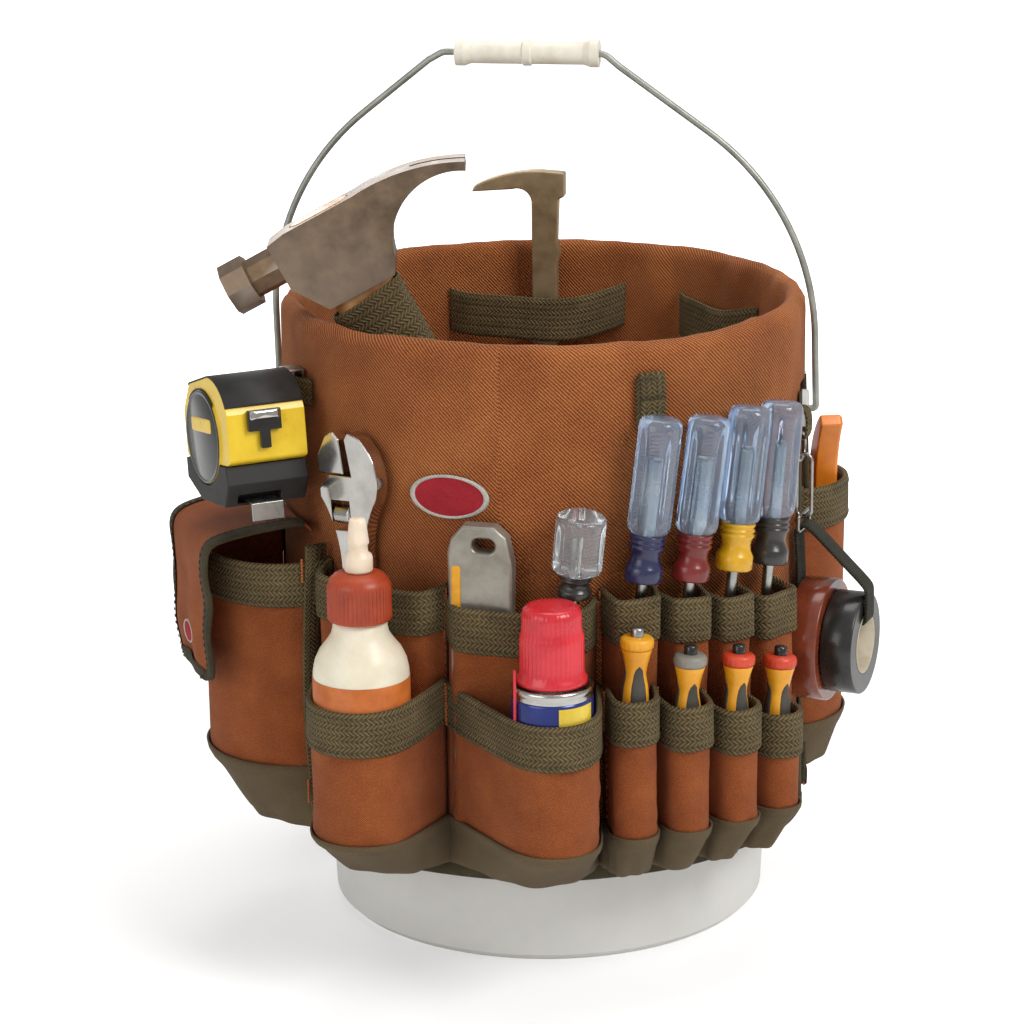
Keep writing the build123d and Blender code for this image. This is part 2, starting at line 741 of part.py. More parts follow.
lock_plane = Plane(origin=tape_plane.from_local_coords((half_w + 0.4, 0, 2)),
                   x_dir=-tape_plane.z_dir, z_dir=tape_plane.x_dir)
with BuildPart() as tape_lock:
    with BuildSketch(lock_plane):
        with Locations((0, 12)):
            Rectangle(20, 12)
        with Locations((0, 1)):
            Rectangle(6, 10)
    extrude(amount=3.4)
finish(tape_lock.part, "tape_lock")

with BuildPart() as tape_hook:
    with BuildSketch(tape_plane.offset(-6)):
        with BuildLine():
            Polyline((half_w - 19, -half_h + 3.4), (half_w - 2, -half_h + 3.4),
                     (half_w + 1, -half_h + 2), (half_w + 1, -half_h - 8),
                     (half_w, -half_h - 8), (half_w, -half_h + 1.4),
                     (half_w - 3, -half_h + 2.4), (half_w - 19, -half_h + 2.4), close=True)
        make_face()
    extrude(amount=19)
finish(tape_hook.part, "tape_hook")

# ================= adjustable wrench =================
wrench_r = upper_back_r + tool_gap + wrench_thick / 2
wrench_plane = facing_plane(wrench_a, wrench_r, wrench_head_z, -wrench_lean)
half_t = wrench_thick / 2
with BuildPart() as wrench_frame:
    with BuildSketch(wrench_plane):
        with BuildLine():
            Polyline((-7, -182.4), (7, -182.4), (9.5, -40))
            ThreePointArc((9.5, -40), (13, -22), (22, -5))
            ThreePointArc((22, -5), (24.5, 14), (14, 31))
            Polyline((14, 31), (5, 34), (2, 30), (5, 9), (-13, 9), (-21, 1), (-21, -4))
            ThreePointArc((-21, -4), (-13, -20), (-9.5, -40))
            Line((-9.5, -40), (-7, -182.4))
        make_face()
        with Locations((-6, -14)):
            Rectangle(15, 17, mode=Mode.SUBTRACT)
    extrude(amount=half_t, both=True)
finish(wrench_frame.part, "wrench_frame")

with BuildPart() as wrench_jaw:
    with BuildSketch(wrench_plane):
        with BuildLine():
            Polyline((-21, 9.6), (-1.5, 9.6), (-3, 30), (-8, 34), (-14, 31), (-21, 20),
                     close=True)
        make_face()
    extrude(amount=half_t - 0.5, both=True)
finish(wrench_jaw.part, "wrench_jaw")

with BuildPart() as wrench_worm:
    with BuildSketch(wrench_plane):
        with Locations((-6, -14 - 5.5 / 2)):
            Rectangle(13, 5.5)
    revolve(axis=Axis(wrench_plane.from_local_coords((0, -14, 0)), wrench_plane.x_dir))
finish(wrench_worm.part, "wrench_worm")

# ================= glue bottle =================
bottle_plane = facing_plane(bottle_a, bottle_axis_r, 0)
finish(turned(bottle_plane, (0, bottle_bottom), (bottle_r - 3, bottle_bottom),
              (bottle_r, bottle_bottom + 3), (bottle_r, bottle_shoulder - 6),
              (bottle_r - 1.5, bottle_shoulder), (16, bottle_neck - 4), (15, bottle_neck),
              (0, bottle_neck)), "glue_bottle")
cap_z = bottle_neck + 0.2
finish(turned(bottle_plane, (0, cap_z), (18, cap_z), (18, cap_z + 18), (16, cap_z + 24),
              (7, cap_z + 27), (0, cap_z + 27)), "glue_cap")
nozzle_z = cap_z + 27.2
finish(turned(bottle_plane, (0, nozzle_z), (7.5, nozzle_z), (8, nozzle_z + 9),
              (6, nozzle_z + 14), (4.6, nozzle_z + 30), (0, nozzle_z + 30)), "glue_nozzle")

# ================= utility knife =================
knife_mid_r = upper_back_r + tool_gap + 1 + knife_thick / 2
knife_plane = facing_plane(knife_a, knife_mid_r, knife_top, 0.5)
with BuildPart() as knife:
    with BuildSketch(knife_plane):
        with BuildLine():
            Polyline((-10, 0), (8, 0), (15, -6), (knife_width / 2, -22),
                     (knife_width / 2 - 2, knife_bottom - knife_top),
                     (-knife_width / 2 + 4, knife_bottom - knife_top), (-knife_width / 2, -16),
                     (-knife_width / 2 + 2, -8), close=True)
        make_face()
        with Locations((2, -11)):
            SlotOverall(13, 8, mode=Mode.SUBTRACT)
    extrude(amount=knife_thick / 2, both=True)
    chamfer(knife.faces().sort_by(Axis(knife_plane.origin, knife_plane.z_dir))[-1].edges(), 1.2)
finish(knife.part, "utility_knife")

# ================= spray can =================
can_plane = facing_plane(can_a, can_axis_r, 0)
finish(turned(can_plane, (0, can_bottom), (can_r, can_bottom), (can_r, can_top - 6),
              (can_r - 0.8, can_top - 4), (can_r, can_top - 2), (can_r - 2, can_top),
              (0, can_top)), "spray_can")
spray_z = can_top + 0.2
finish(turned(can_plane, (0, spray_z), (19.5, spray_z), (19.5, spray_z + 3),
              (17.5, spray_z + 6), (17.5, spray_z + 24), (16, spray_z + 30),
              (16, can_cap_top - 3), (14, can_cap_top), (0, can_cap_top)), "spray_cap")


# ================= screwdrivers =================
def screwdriver(plane, handle_r, handle, collar_r, collar, shaft_r, shaft):
    """Handle, collar and shaft along local Y, with the collar's foot at the plane's origin."""
    handle_piece = turned(plane, (0, collar + 0.1), (handle_r - 2, collar + 0.1),
                          (handle_r, collar + 3), (handle_r, collar + handle - 3),
                          (handle_r - 3, collar + handle), (0, collar + handle))
    collar_piece = turned(plane, (shaft_r, 0), (collar_r, 0), (collar_r, collar * 0.34),
                          (collar_r - 2.4, collar * 0.52),
                          (collar_r - 1, collar), (shaft_r, collar))
    shaft_piece = turned(plane, (0, -shaft), (shaft_r, -shaft), (shaft_r, -0.1), (0, -0.1))
    return together(handle_piece, collar_piece, shaft_piece)


driver_names = ["driver_blue", "driver_red", "driver_yellow", "driver_black"]
for name, angle, lean, z in zip(driver_names, driver_angles, driver_leans, driver_collar_z):
    driver_plane = facing_plane(angle, driver_r, z, lean)
    finish(screwdriver(driver_plane, driver_handle_r, driver_handle, driver_collar_r,
                       driver_collar, driver_shaft_r, driver_shaft), name)
stubby_plane = facing_plane(stubby_a, stubby_r, stubby_z, 5, stubby_tip)
finish(screwdriver(stubby_plane, stubby_handle_r, stubby_handle, 9.6, stubby_collar, 3.0,
                   stubby_shaft), "stubby_driver")


# ================= small drivers =================
def small_driver(plane):
    """A short driver with a steel button, a flared head and a waisted grip."""
    grip = turned(plane, (0, -nut_length), (7.1, -nut_length), (7.6, -nut_length + 30),
                  (7.6, -40), (5.6, -27), (8, -14), (nut_head_r, -10), (nut_head_r, -7),
                  (7.6, -5.2), (0, -5.2))
    button = turned(plane, (0, -5), (3.7, -5), (3.7, -0.8), (3, 0), (0, 0))
    return together(grip, button)


for number, (angle, lean, top) in enumerate(zip(nut_angles, nut_leans, nut_tops), 1):
    finish(small_driver(facing_plane(angle, nut_r, top, lean)), f"small_driver_{number}")

# ================= snips in the side pocket =================
snips_plane = facing_plane(snips_a, snips_r, snips_z)
with BuildPart() as snips:
    with BuildSketch(snips_plane):
        with BuildLine():
            Line((10, -120), (12, 0))
            ThreePointArc((12, 0), (4, 32), (-16, 52))
            Line((-16, 52), (-20, 46))
            ThreePointArc((-20, 46), (-8, 20), (-8, -10))
            Polyline((-8, -10), (-6, -120), (10, -120))
        make_face()
    extrude(amount=7, both=True)
    chamfer(snips.faces().sort_by(Axis(snips_plane.origin, snips_plane.z_dir))[-1].edges(), 1.5)
finish(snips.part, "snips_handle")

# ================= strap with its ring, clip and tape rolls =================
hang_plane = radial_plane(roll_a)
tangent = tuple(-v for v in hang_plane.z_dir)
roll_axis = Axis((0, 0, roll_z), hang_plane.x_dir)
black_back_r = roll_back_r + roll_width + 0.5
ring_wire = 0.9


def tape_roll(r_back, outer_r):
    with BuildPart() as roll:
        with BuildSketch(hang_plane):
            with Locations(((r_back + roll_width / 2, roll_z + (outer_r + roll_core_r + 1.5) / 2))):
                Rectangle(roll_width, outer_r - roll_core_r - 1.5)
        revolve(axis=roll_axis)
    return roll.part


def roll_core(r_back):
    with BuildPart() as core:
        with BuildSketch(hang_plane):
            with Locations(((r_back + roll_width / 2, roll_z + roll_core_r + 0.7))):
                Rectangle(roll_width, 1.4)
        revolve(axis=roll_axis)
    return core.part


finish(together(tape_roll(roll_back_r, brown_roll_r), roll_core(roll_back_r)), "brown_tape")
finish(together(tape_roll(black_back_r, black_roll_r), roll_core(black_back_r)), "black_tape")

link_r = skirt_radius(strap_loop_z) + sewn_gap + strap_loop_stand / 2
clip_r = link_r + clip_shift
strap_low = roll_z + 12.4
outer_leg_r = black_back_r + roll_width + 2.5
inner_leg_r = roll_back_r - 0.8
link_gap = 0.3
thick_wire = 1.1

# heights of the links' centre lines, each hung on the one above
ring_seat = ring_size / 2 - ((ring_size ** 2 - strap_loop_width ** 2) ** 0.5) / 2
ring_top = strap_loop_z - strap_loop_tall / 2 + web + ring_wire + link_gap + ring_seat
ring_bottom = ring_top - ring_size
clip_top_z = ring_bottom + ring_wire + thick_wire + 2.0
clip_bottom_z = clip_top_z - clip_length
d_top_z = clip_bottom_z + 2 * thick_wire + link_gap
d_bottom_z = d_top_z - d_ring_height
strap_top_z = d_bottom_z + thick_wire + link_gap + web


def strap_outline(inset):
    """The strap's closed path round both rolls' cores and over the D-ring."""
    with BuildSketch(mode=Mode.PRIVATE) as outline:
        with BuildLine():
            FilletPolyline((inner_leg_r - web + inset, strap_low + inset),
                           (outer_leg_r - inset, strap_low + inset),
                           (outer_leg_r - inset, roll_z + black_roll_r + 4),
                           (clip_r + 3.6 - inset, strap_top_z - inset),
                           (clip_r - 3.6 + inset, strap_top_z - inset),
                           (inner_leg_r - web + inset, roll_z + brown_roll_r + 4),
                           radius=2.2 - inset, close=True)
        make_face()
    return outline.sketch


with BuildPart() as tape_strap:
    with BuildSketch(hang_plane):
        add(strap_outline(0.0))
        add(strap_outline(web), mode=Mode.SUBTRACT)
    extrude(amount=strap_half, both=True)
finish(tape_strap.part, "tape_strap")


def wire_link(radius, x_dir, top_z, bottom_z, width, wire_r, corner):
    """A closed link of round wire, upright, with its width along x_dir."""
    middle = polar(roll_a, radius, (top_z + bottom_z) / 2)
    out = Vector(*x_dir)
    plane = Plane(origin=middle, x_dir=out, z_dir=out.cross(Vector(0, 0, 1)))
    half_x = width / 2
    half_y = (top_z - bottom_z) / 2
    with BuildPart() as link:
        with BuildLine(plane) as path:
            FilletPolyline((half_x, -half_y), (half_x, half_y), (-half_x, half_y),
                           (-half_x, -half_y), radius=corner, close=True)
        with BuildSketch(Plane(origin=path.line @ 0, z_dir=path.line % 0)):
            Circle(wire_r)
        sweep(path=path.line)
    return link.part


finish(wire_link(link_r, tangent, ring_top, ring_bottom, ring_size, ring_wire,
                 ring_size / 2 - 0.05), "split_ring")
finish(wire_link(clip_r, hang_plane.x_dir, clip_top_z, clip_bottom_z, clip_width, thick_wire,
                 clip_width / 2 - 0.05), "snap_clip")
finish(wire_link(clip_r, tangent, d_top_z, d_bottom_z, 2 * (strap_half + thick_wire + 1),
                 thick_wire, 1.6), "d_ring")
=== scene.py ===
"""The looks of a canvas tool organizer on its pail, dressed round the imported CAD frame."""

import json
import math

import bmesh
import bpy
import numpy as np
from mathutils import Matrix, Vector

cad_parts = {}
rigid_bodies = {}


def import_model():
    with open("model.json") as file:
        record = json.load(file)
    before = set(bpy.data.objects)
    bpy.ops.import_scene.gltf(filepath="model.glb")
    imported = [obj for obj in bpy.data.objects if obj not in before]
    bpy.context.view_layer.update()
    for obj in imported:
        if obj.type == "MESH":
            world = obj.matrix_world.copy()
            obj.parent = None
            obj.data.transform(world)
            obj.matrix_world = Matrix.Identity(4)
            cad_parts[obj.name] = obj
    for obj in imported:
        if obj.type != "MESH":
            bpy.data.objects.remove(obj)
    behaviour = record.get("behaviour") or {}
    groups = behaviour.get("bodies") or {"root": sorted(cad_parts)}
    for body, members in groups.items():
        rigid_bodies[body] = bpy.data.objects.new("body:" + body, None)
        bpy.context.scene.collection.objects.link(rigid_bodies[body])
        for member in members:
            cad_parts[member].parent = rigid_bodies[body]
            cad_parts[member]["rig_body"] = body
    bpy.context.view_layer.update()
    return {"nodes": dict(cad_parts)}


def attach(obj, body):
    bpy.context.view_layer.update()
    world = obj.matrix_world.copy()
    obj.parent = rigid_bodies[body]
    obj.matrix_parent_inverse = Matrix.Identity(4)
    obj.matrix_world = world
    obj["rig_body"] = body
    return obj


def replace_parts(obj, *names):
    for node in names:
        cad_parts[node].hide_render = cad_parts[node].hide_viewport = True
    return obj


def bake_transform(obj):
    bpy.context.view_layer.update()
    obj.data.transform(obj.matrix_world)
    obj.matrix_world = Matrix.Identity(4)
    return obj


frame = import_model()
nodes = frame["nodes"]
MM = 0.001

# ---- the organizer's own sizes, in millimetres and in degrees from the front ----
HEM_Z, WAIST_Z, DROP_Z, SKIRT_SEAM_Z = 62.0, 240.0, 322.0, 243.5
HEM_R, WAIST_R, RIM_R = 158.0, 156.4, 154.6
LINER_TOP_R, LINER_LOW_R, LINER_Z = 144.3, 139.2, 236.0
PAIL_LIP_R, PAIL_SHOULDER_Z, PAIL_TAPER, PAIL_WALL = 147, 350, 16, 2.2
SLIT_HALF = 7.0                       # half of each side slit, in degrees
CANVAS, WEB = 1.2, 1.4                # thickness of the cloth and of the webbing
WALL_R = 158.6                        # where the pockets are sewn to the skirt
POCKET_FLOOR, BASE_LOW = 100.0, 73.0
BAND = 25.0                           # width of the webbing at the mouths
PER_DEGREE = 2.75                     # millimetres of skirt to a degree
LEFT_A, SEAM_A, RIGHT_A = -42.0, -11.0, 19.4
FLAP_A, STRAP_A = -61.5, 77.0
SEAMS_UP = [20.4, 31.6, 41.8, 51.4, 64.0]
SEAMS_LOW = [20.0, 29.2, 38.8, 48.2, 58.4]
SMALL_A, SMALL_OUT = (24.6, 34.2, 43.8, 53.4), 190.6
# what the round pockets hold: angle, distance out and the radius of the cloth round it
BOTTLE = (-21.0, 203.6, 29.7)
CAN = (10.2, 199.4, 25.6)
# stitches: length, gap and thread radius
SEAM_STITCH, SKIRT_STITCH, EDGE_STITCH = (2.8, 1.5, 0.42), (2.6, 1.6, 0.38), (2.6, 1.6, 0.36)
WEB_STITCH, HEM_STITCH = (2.6, 1.5, 0.38), (2.6, 1.6, 0.34)
BARTACK, LOOP_TACK = (2.0, -0.2, 0.8), (1.8, -0.2, 0.4)


# ================= small tools for colours, nodes and meshes =================
def srgb(code, alpha=1.0):
    """A hex colour as the linear values the shader takes."""
    parts = [int(code[i:i + 2], 16) / 255 for i in (1, 3, 5)]
    return tuple(p / 12.92 if p < 0.04045 else ((p + 0.055) / 1.055) ** 2.4 for p in parts) + (alpha,)


def node(tree, kind, settings=None, *values, **links):
    """Adds one shader node. settings are its own values, with stops for a ramp's (place, hex) pairs.
    values and links feed its inputs in order, by socket name or by _number."""
    made = tree.nodes.new("ShaderNode" + kind)
    for name, value in (settings or {}).items():
        if name != "stops":
            setattr(made, name, value)
            continue
        bands = made.color_ramp.elements
        for at, _ in value[2:]:
            bands.new(at)
        for band, (at, code) in zip(bands, value):
            band.position, band.color = at, srgb(code)
    named = [(int(k[1:]) if k[0] == "_" else k.replace("_", " "), value) for k, value in links.items()]
    for key, value in [*enumerate(values), *named]:
        if isinstance(value, bpy.types.Node):
            value = value.outputs[0]
        if isinstance(value, bpy.types.NodeSocket):
            tree.links.new(value, made.inputs[key])
        else:
            made.inputs[key].default_value = value
    return made


def new_material(name):
    """A named material with its nodes and its shader."""
    mat = bpy.data.materials.new(name)
    mat.use_nodes = True
    tree = mat.node_tree
    return mat, tree, tree.nodes["Principled BSDF"]


def feed(tree, shader, values):
    """Sets or links a shader's inputs by name."""
    for name, value in values.items():
        if isinstance(value, bpy.types.NodeSocket):
            tree.links.new(value, shader.inputs[name])
        else:
            shader.inputs[name].default_value = value


def into_scene(name, data):
    """A new object that holds the data, put in the scene."""
    obj = bpy.data.objects.new(name, data)
    bpy.context.scene.collection.objects.link(obj)
    return obj


def crowd(seed, count=7):
    """Seeded directions, lengths and phases for smooth hand-made waves."""
    rng = np.random.default_rng(seed)
    return np.stack([rng.uniform(0, 2 * np.pi, count), rng.uniform(0.6, 1.7, count),
                     rng.uniform(0, 2 * np.pi, count)], axis=1)


def waves(x, y, seed, length, amount):
    """Soft random undulation over (x, y) in millimetres, about +-amount high."""
    total = 0.0
    rows = crowd(seed)
    for turn, rate, phase in rows:
        total = total + np.sin((x * np.cos(turn) + y * np.sin(turn)) * 2 * np.pi * rate / length + phase)
    return amount * total / math.sqrt(len(rows))


def place(angle, radius, height):
    """Points from an angle off the front, a distance from the pail's axis and a height."""
    a = np.radians(angle)
    return np.stack(np.broadcast_arrays(radius * np.sin(a), -radius * np.cos(a), height), axis=-1)


def steps_along(points):
    """Running length along rows of points."""
    gaps = np.linalg.norm(np.diff(points, axis=0), axis=-1)
    return np.concatenate([[0.0], np.cumsum(gaps)])


class Patchwork:
    """Gathers grids of points into one mesh with its weave laid out in millimetres."""

    def __init__(self):
        self.points, self.faces, self.uvs, self.count = [], [], [], 0

    def grid(self, points, uv=None, keep=None, wrap=False, flip=False):
        """Adds rows of points as a skin. keep says which squares stay; wrap closes it round."""
        points = np.asarray(points, float)
        rows, cols = points.shape[:2]
        if uv is None:
            across = np.linalg.norm(np.diff(points, axis=1), axis=-1).mean(axis=0)
            along = np.linalg.norm(np.diff(points, axis=0), axis=-1).mean(axis=1)
            u = np.concatenate([[0.0], np.cumsum(across)])
            v = np.concatenate([[0.0], np.cumsum(along)])
            uv = np.stack(np.meshgrid(u, v), axis=-1)
        last = cols if wrap else cols - 1
        for i in range(rows - 1):
            for j in range(last):
                if keep is not None and not keep[i, j]:
                    continue
                k = (j + 1) % cols
                corners = [(i, j), (i, k), (i + 1, k), (i + 1, j)]
                spots = [tuple(uv[c]) for c in corners]
                if k == 0:
                    width = uv[i, 1, 0] - uv[i, 0, 0]
                    spots[1] = (spots[0][0] + width, spots[1][1])
                    spots[2] = (spots[3][0] + width, spots[2][1])
                if flip:
                    corners.reverse()
                    spots.reverse()
                self.faces.append([self.count + r * cols + c for r, c in corners])
                self.uvs.extend(spots)
        self.points.append(points.reshape(-1, 3))
        self.count += rows * cols

    def solid(self, points, faces):
        """Adds a ready-made closed piece."""
        self.points.append(np.asarray(points, float))
        for face in faces:
            self.faces.append([self.count + i for i in face])
            self.uvs.extend([(0.0, 0.0)] * len(face))
        self.count += len(points)

    def build(self, name, mat, body, slot=None, thick=0.0):
        """Makes the piece. A positive thickness lies behind its skin, a negative one in front."""
        mesh = bpy.data.meshes.new(name)
        mesh.from_pydata((np.concatenate(self.points) * MM).tolist(), [], self.faces)
        layer = mesh.uv_layers.new(name="weave")
        layer.data.foreach_set("uv", np.asarray(self.uvs, np.float32).ravel())
        mesh.validate()
        used = np.zeros(len(mesh.vertices), bool)
        used[[v for p in mesh.polygons for v in p.vertices]] = True
        obj = into_scene(name, mesh)
        mesh.materials.append(mat)
        mesh.shade_smooth()
        if not used.all():
            drop_loose(mesh)
        if thick:
            thicken(obj, abs(thick), -1.0 if thick > 0 else 1.0)
        if body:
            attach(obj, body)
        return obj


def thicken(obj, thick, side=0.0):
    """Gives a skin its thickness: behind it at -1, in front at 1, both ways at 0."""
    layer = obj.modifiers.new("thickness", "SOLIDIFY")
    layer.thickness = thick * MM
    layer.offset = side


def drop_loose(mesh):
    """Removes the points that no face uses."""
    bm = bmesh.new()
    bm.from_mesh(mesh)
    bmesh.ops.delete(bm, geom=[v for v in bm.verts if not v.link_faces], context="VERTS")
    bm.to_mesh(mesh)
    bm.free()


def soften(obj, width, segments=3, angle=32):
    """Rounds an object's sharp edges and shades it evenly."""
    round_off = obj.modifiers.new("rounded edges", "BEVEL")
    round_off.width = width * MM
    round_off.segments = segments
    round_off.limit_method = "ANGLE"
    round_off.angle_limit = math.radians(angle)
    round_off.harden_normals = False
    obj.data.shade_smooth()
    obj.modifiers.new("even shading", "WEIGHTED_NORMAL").keep_sharp = True


def axes_at(angle, radius, z, lean=0.0, tip=0.0):
    """The tools' own axes as in the frame: across, up and out, with the origin."""
    a, l, t = (math.radians(v) for v in (angle, lean, tip))
    out = Vector((math.sin(a), -math.cos(a), 0))
    around = Vector((math.cos(a), math.sin(a), 0))
    upright = Vector((0, 0, 1)) * math.cos(t) + out * math.sin(t)
    side = around * math.cos(l) - upright * math.sin(l)
    face = out * math.cos(t) - Vector((0, 0, 1)) * math.sin(t)
    up = face.cross(side)
    origin = Vector((radius * math.sin(a), -radius * math.cos(a), z))
    return origin, side, up, face


def in_axes(axes, points):
    """Points given across, up and out in a tool's own axes, as places in the frame."""
    origin, side, up, face = (np.array(v) for v in axes)
    points = np.asarray(points, float)
    return origin + points[..., :1] * side + points[..., 1:2] * up + points[..., 2:3] * face


def curve_pipe(patch, path, radius, sides=10):
    """A round rod along a path of points, closed at both ends."""
    tangent = np.gradient(path, axis=0)
    tangent /= np.linalg.norm(tangent, axis=1, keepdims=True)
    normal = np.cross(tangent[0], [0.13, 0.27, 0.95])
    normal /= np.linalg.norm(normal)
    rings = []
    turn = np.linspace(0, 2 * np.pi, sides, endpoint=False)
    for spot, way in zip(path, tangent):
        normal = normal - way * normal.dot(way)
        normal /= np.linalg.norm(normal)
        other = np.cross(way, normal)
        rings.append(spot + radius * (np.outer(np.cos(turn), normal) + np.outer(np.sin(turn), other)))
    patch.grid(rings, wrap=True, flip=True)
    face = list(range(sides))
    patch.solid(rings[0], [face])
    patch.solid(rings[-1], [face[::-1]])


def stitches(patch, path, length, gap, radius):
    """A row of thread stitches along a path, each a little pill."""
    path = np.asarray(path, float)
    run = steps_along(path)
    spots = np.arange(gap, run[-1] - length, length + gap)
    # a pill's points: its two tips and three squares, each as across, across and along
    square = np.array([(1, 0, 0), (0, 1, 0), (-1, 0, 0), (0, -1, 0)])
    near_tip, far_tip = square * 0.8 - [0, 0, 0.32], square * 0.8 + [0, 0, 0.32]
    ring = np.concatenate([[(0, 0, -0.5)], near_tip, square, far_tip, [(0, 0, 0.5)]])
    faces = [(0, 2, 1), (0, 3, 2), (0, 4, 3), (0, 1, 4)]
    for low in (1, 5):
        for i in range(4):
            j = (i + 1) % 4
            faces.append((low + i, low + j, low + 4 + j, low + 4 + i))
    faces += [(13, 9, 10), (13, 10, 11), (13, 11, 12), (13, 12, 9)]
    for s in spots:
        a = np.array([np.interp(s, run, path[:, k]) for k in range(3)])
        b = np.array([np.interp(s + length, run, path[:, k]) for k in range(3)])
        way = (b - a) / np.linalg.norm(b - a)
        side = np.cross(way, [0.31, 0.17, 0.93])
        side /= np.linalg.norm(side)
        other = np.cross(way, side)
        patch.solid((a + b) / 2 + ring[:, :1] * side * radius + ring[:, 1:2] * other * radius
                    + ring[:, 2:] * way * length, faces)


# ================= materials =================
def woven(name, dark, middle, light, pitch, lay, lift=0.22, blotch=55.0):
    """Cloth or webbing: the thread spacing is pitch, in millimetres, on the piece's own weave map."""
    mat, tree, shader = new_material(name)
    uv = node(tree, "UVMap", {"uv_map": "weave"}).outputs["UV"]
    parts = node(tree, "SeparateXYZ", None, uv)
    x, y = parts.outputs["X"], parts.outputs["Y"]
    turn = 2 * math.pi / pitch
    add, less, times, sine = ({"operation": kind} for kind in ("ADD", "SUBTRACT", "MULTIPLY", "SINE"))

    if lay == "twill":
        slant = node(tree, "Math", times, node(tree, "Math", add, x, y), turn)
        other = node(tree, "Math", times, node(tree, "Math", less, x, y), turn * 1.5)
        cross = node(tree, "Math", times, node(tree, "Math", sine, other), 0.45)
        height = node(tree, "Math", add, node(tree, "Math", sine, slant), cross)
    elif lay == "plain":
        warp, weft = (node(tree, "Math", sine, node(tree, "Math", times, way, turn)) for way in (x, y))
        height = node(tree, "Math", times, node(tree, "Math", times, warp, weft), 1.2)
    else:
        zigzag = node(tree, "Math", {"operation": "PINGPONG"}, y, pitch * 1.25)
        slant = node(tree, "Math", times, node(tree, "Math", add, x, zigzag), turn)
        ridge = node(tree, "Math", times, node(tree, "Math", sine, slant), 0.8)
        cord = node(tree, "Math", sine, node(tree, "Math", times, y, turn / 2.5))
        rib = node(tree, "Math", times, node(tree, "Math", {"operation": "ABSOLUTE"}, cord), 0.8)
        height = node(tree, "Math", add, ridge, rib)
    cloud = node(tree, "TexNoise", Vector=uv, Scale=1 / blotch, Detail=4.0, Roughness=0.6).outputs["Fac"]
    fleck = node(tree, "TexNoise", Vector=uv, Scale=0.9, Detail=2.0).outputs["Fac"]
    mottled = node(tree, "Math", add, node(tree, "Math", times, cloud, 0.55),
                   node(tree, "Math", times, fleck, 0.42))
    # painted light and shade: the weave's relief lightens the colour on its crests and darkens it in its
    # hollows, over the random tone of the two noises
    weave_shade_and_mottle = node(tree, "Math", {"operation": "MULTIPLY_ADD"}, height, 0.22 if lay == "twill" else 0.17, mottled)
    colour = node(tree, "ValToRGB", {"stops": ((0.18, dark), (0.5, middle), (0.82, light))}, weave_shade_and_mottle)
    rough = node(tree, "MapRange", Value=fleck, To_Min=0.78, To_Max=0.95)
    relief = node(tree, "Math", add, height, node(tree, "Math", times, fleck, 0.9))
    bump = node(tree, "Bump", Height=relief, Strength=0.9, Distance=lift * MM)
    feed(tree, shader, {"Base Color": colour.outputs["Color"], "Roughness": rough.outputs["Result"],
                        "Normal": bump.outputs["Normal"], "Sheen Weight": 0.03, "Sheen Roughness": 0.5,
                        "Specular IOR Level": 0.3})
    return mat


def surface(name, base, other, rough, metallic=0.0, grain=1.2, stretch=(1, 1, 1), lift=0.02,
            coat=0.0, edge=None, mottle=18.0, milky=None):
    """Plastic, rubber, paint or metal. grain and mottle are sizes in millimetres."""
    mat, tree, shader = new_material(name)
    spot = node(tree, "TexCoord").outputs["Object"]
    scaled = node(tree, "Mapping", Vector=spot, Scale=stretch).outputs["Vector"]
    fine = node(tree, "TexNoise", Vector=scaled, Scale=1 / (grain * MM), Detail=3.0).outputs["Fac"]
    blotches = node(tree, "TexNoise", Vector=spot, Scale=1 / (mottle * MM), Detail=5.0, Roughness=0.62)
    broad = blotches.outputs["Fac"]
    colour = node(tree, "ValToRGB", {"stops": ((0.32, other), (0.62, base))}, broad).outputs["Color"]
    if edge:
        worn = node(tree, "NewGeometry").outputs["Pointiness"]
        mask = node(tree, "MapRange", Value=worn, From_Min=0.52, From_Max=0.6).outputs["Result"]
        colour = node(tree, "Mix", {"data_type": "RGBA"}, mask, _6=colour, _7=srgb(edge)).outputs[2]
    low, high = rough
    spread = node(tree, "MapRange", Value=broad, From_Min=0.3, From_Max=0.7, To_Min=low, To_Max=high)
    bump = node(tree, "Bump", Height=fine, Strength=0.5, Distance=lift * MM)
    feed(tree, shader, {"Base Color": colour, "Roughness": spread.outputs["Result"],
                        "Normal": bump.outputs["Normal"], "Metallic": metallic, "Coat Weight": coat,
                        "Coat Roughness": 0.12})
    if milky:
        feed(tree, shader, {"Subsurface Weight": milky[0], "Subsurface Scale": milky[1]})
    return mat


def clear_plastic(name, tint, deep):
    """Cellulose acetate: see-through, with a faint haze of its tint and a polished skin."""
    mat, tree, shader = new_material(name)
    spot = node(tree, "TexCoord").outputs["Object"]
    haze = node(tree, "TexNoise", Vector=spot, Scale=60.0, Detail=2.0).outputs["Fac"]
    colour = node(tree, "ValToRGB", {"stops": ((0.3, deep), (0.7, tint))}, haze)
    smear = node(tree, "MapRange", Value=haze, To_Min=0.03, To_Max=0.14)
    feed(tree, shader, {"Base Color": colour.outputs["Color"], "Roughness": smear.outputs["Result"],
                        "Transmission Weight": 0.82, "IOR": 1.47})
    return mat


# Heavy polyester duck: a diagonal twill, with painted light on its ridges and painted shade between them.
# The ridges are drawn 2.3 mm apart, coarser than real, so that they show.
duck_twill = woven("rust duck twill", "#6a3210", "#a6592a", "#d38a4c", 2.3, "twill", 0.4)
# The pockets' finer, flatter plain weave looks softer and browner than the skirt
duck_plain = woven("rust duck plain", "#66300f", "#994e24", "#c07238", 1.4, "plain", 0.24, 38.0)
# Polypropylene webbing: chunky herringbone ribs with painted light on their crests and painted shade in the gaps
olive_web = woven("olive webbing", "#2b2313", "#52442a", "#82714c", 2.6, "herringbone", 0.5, 30.0)
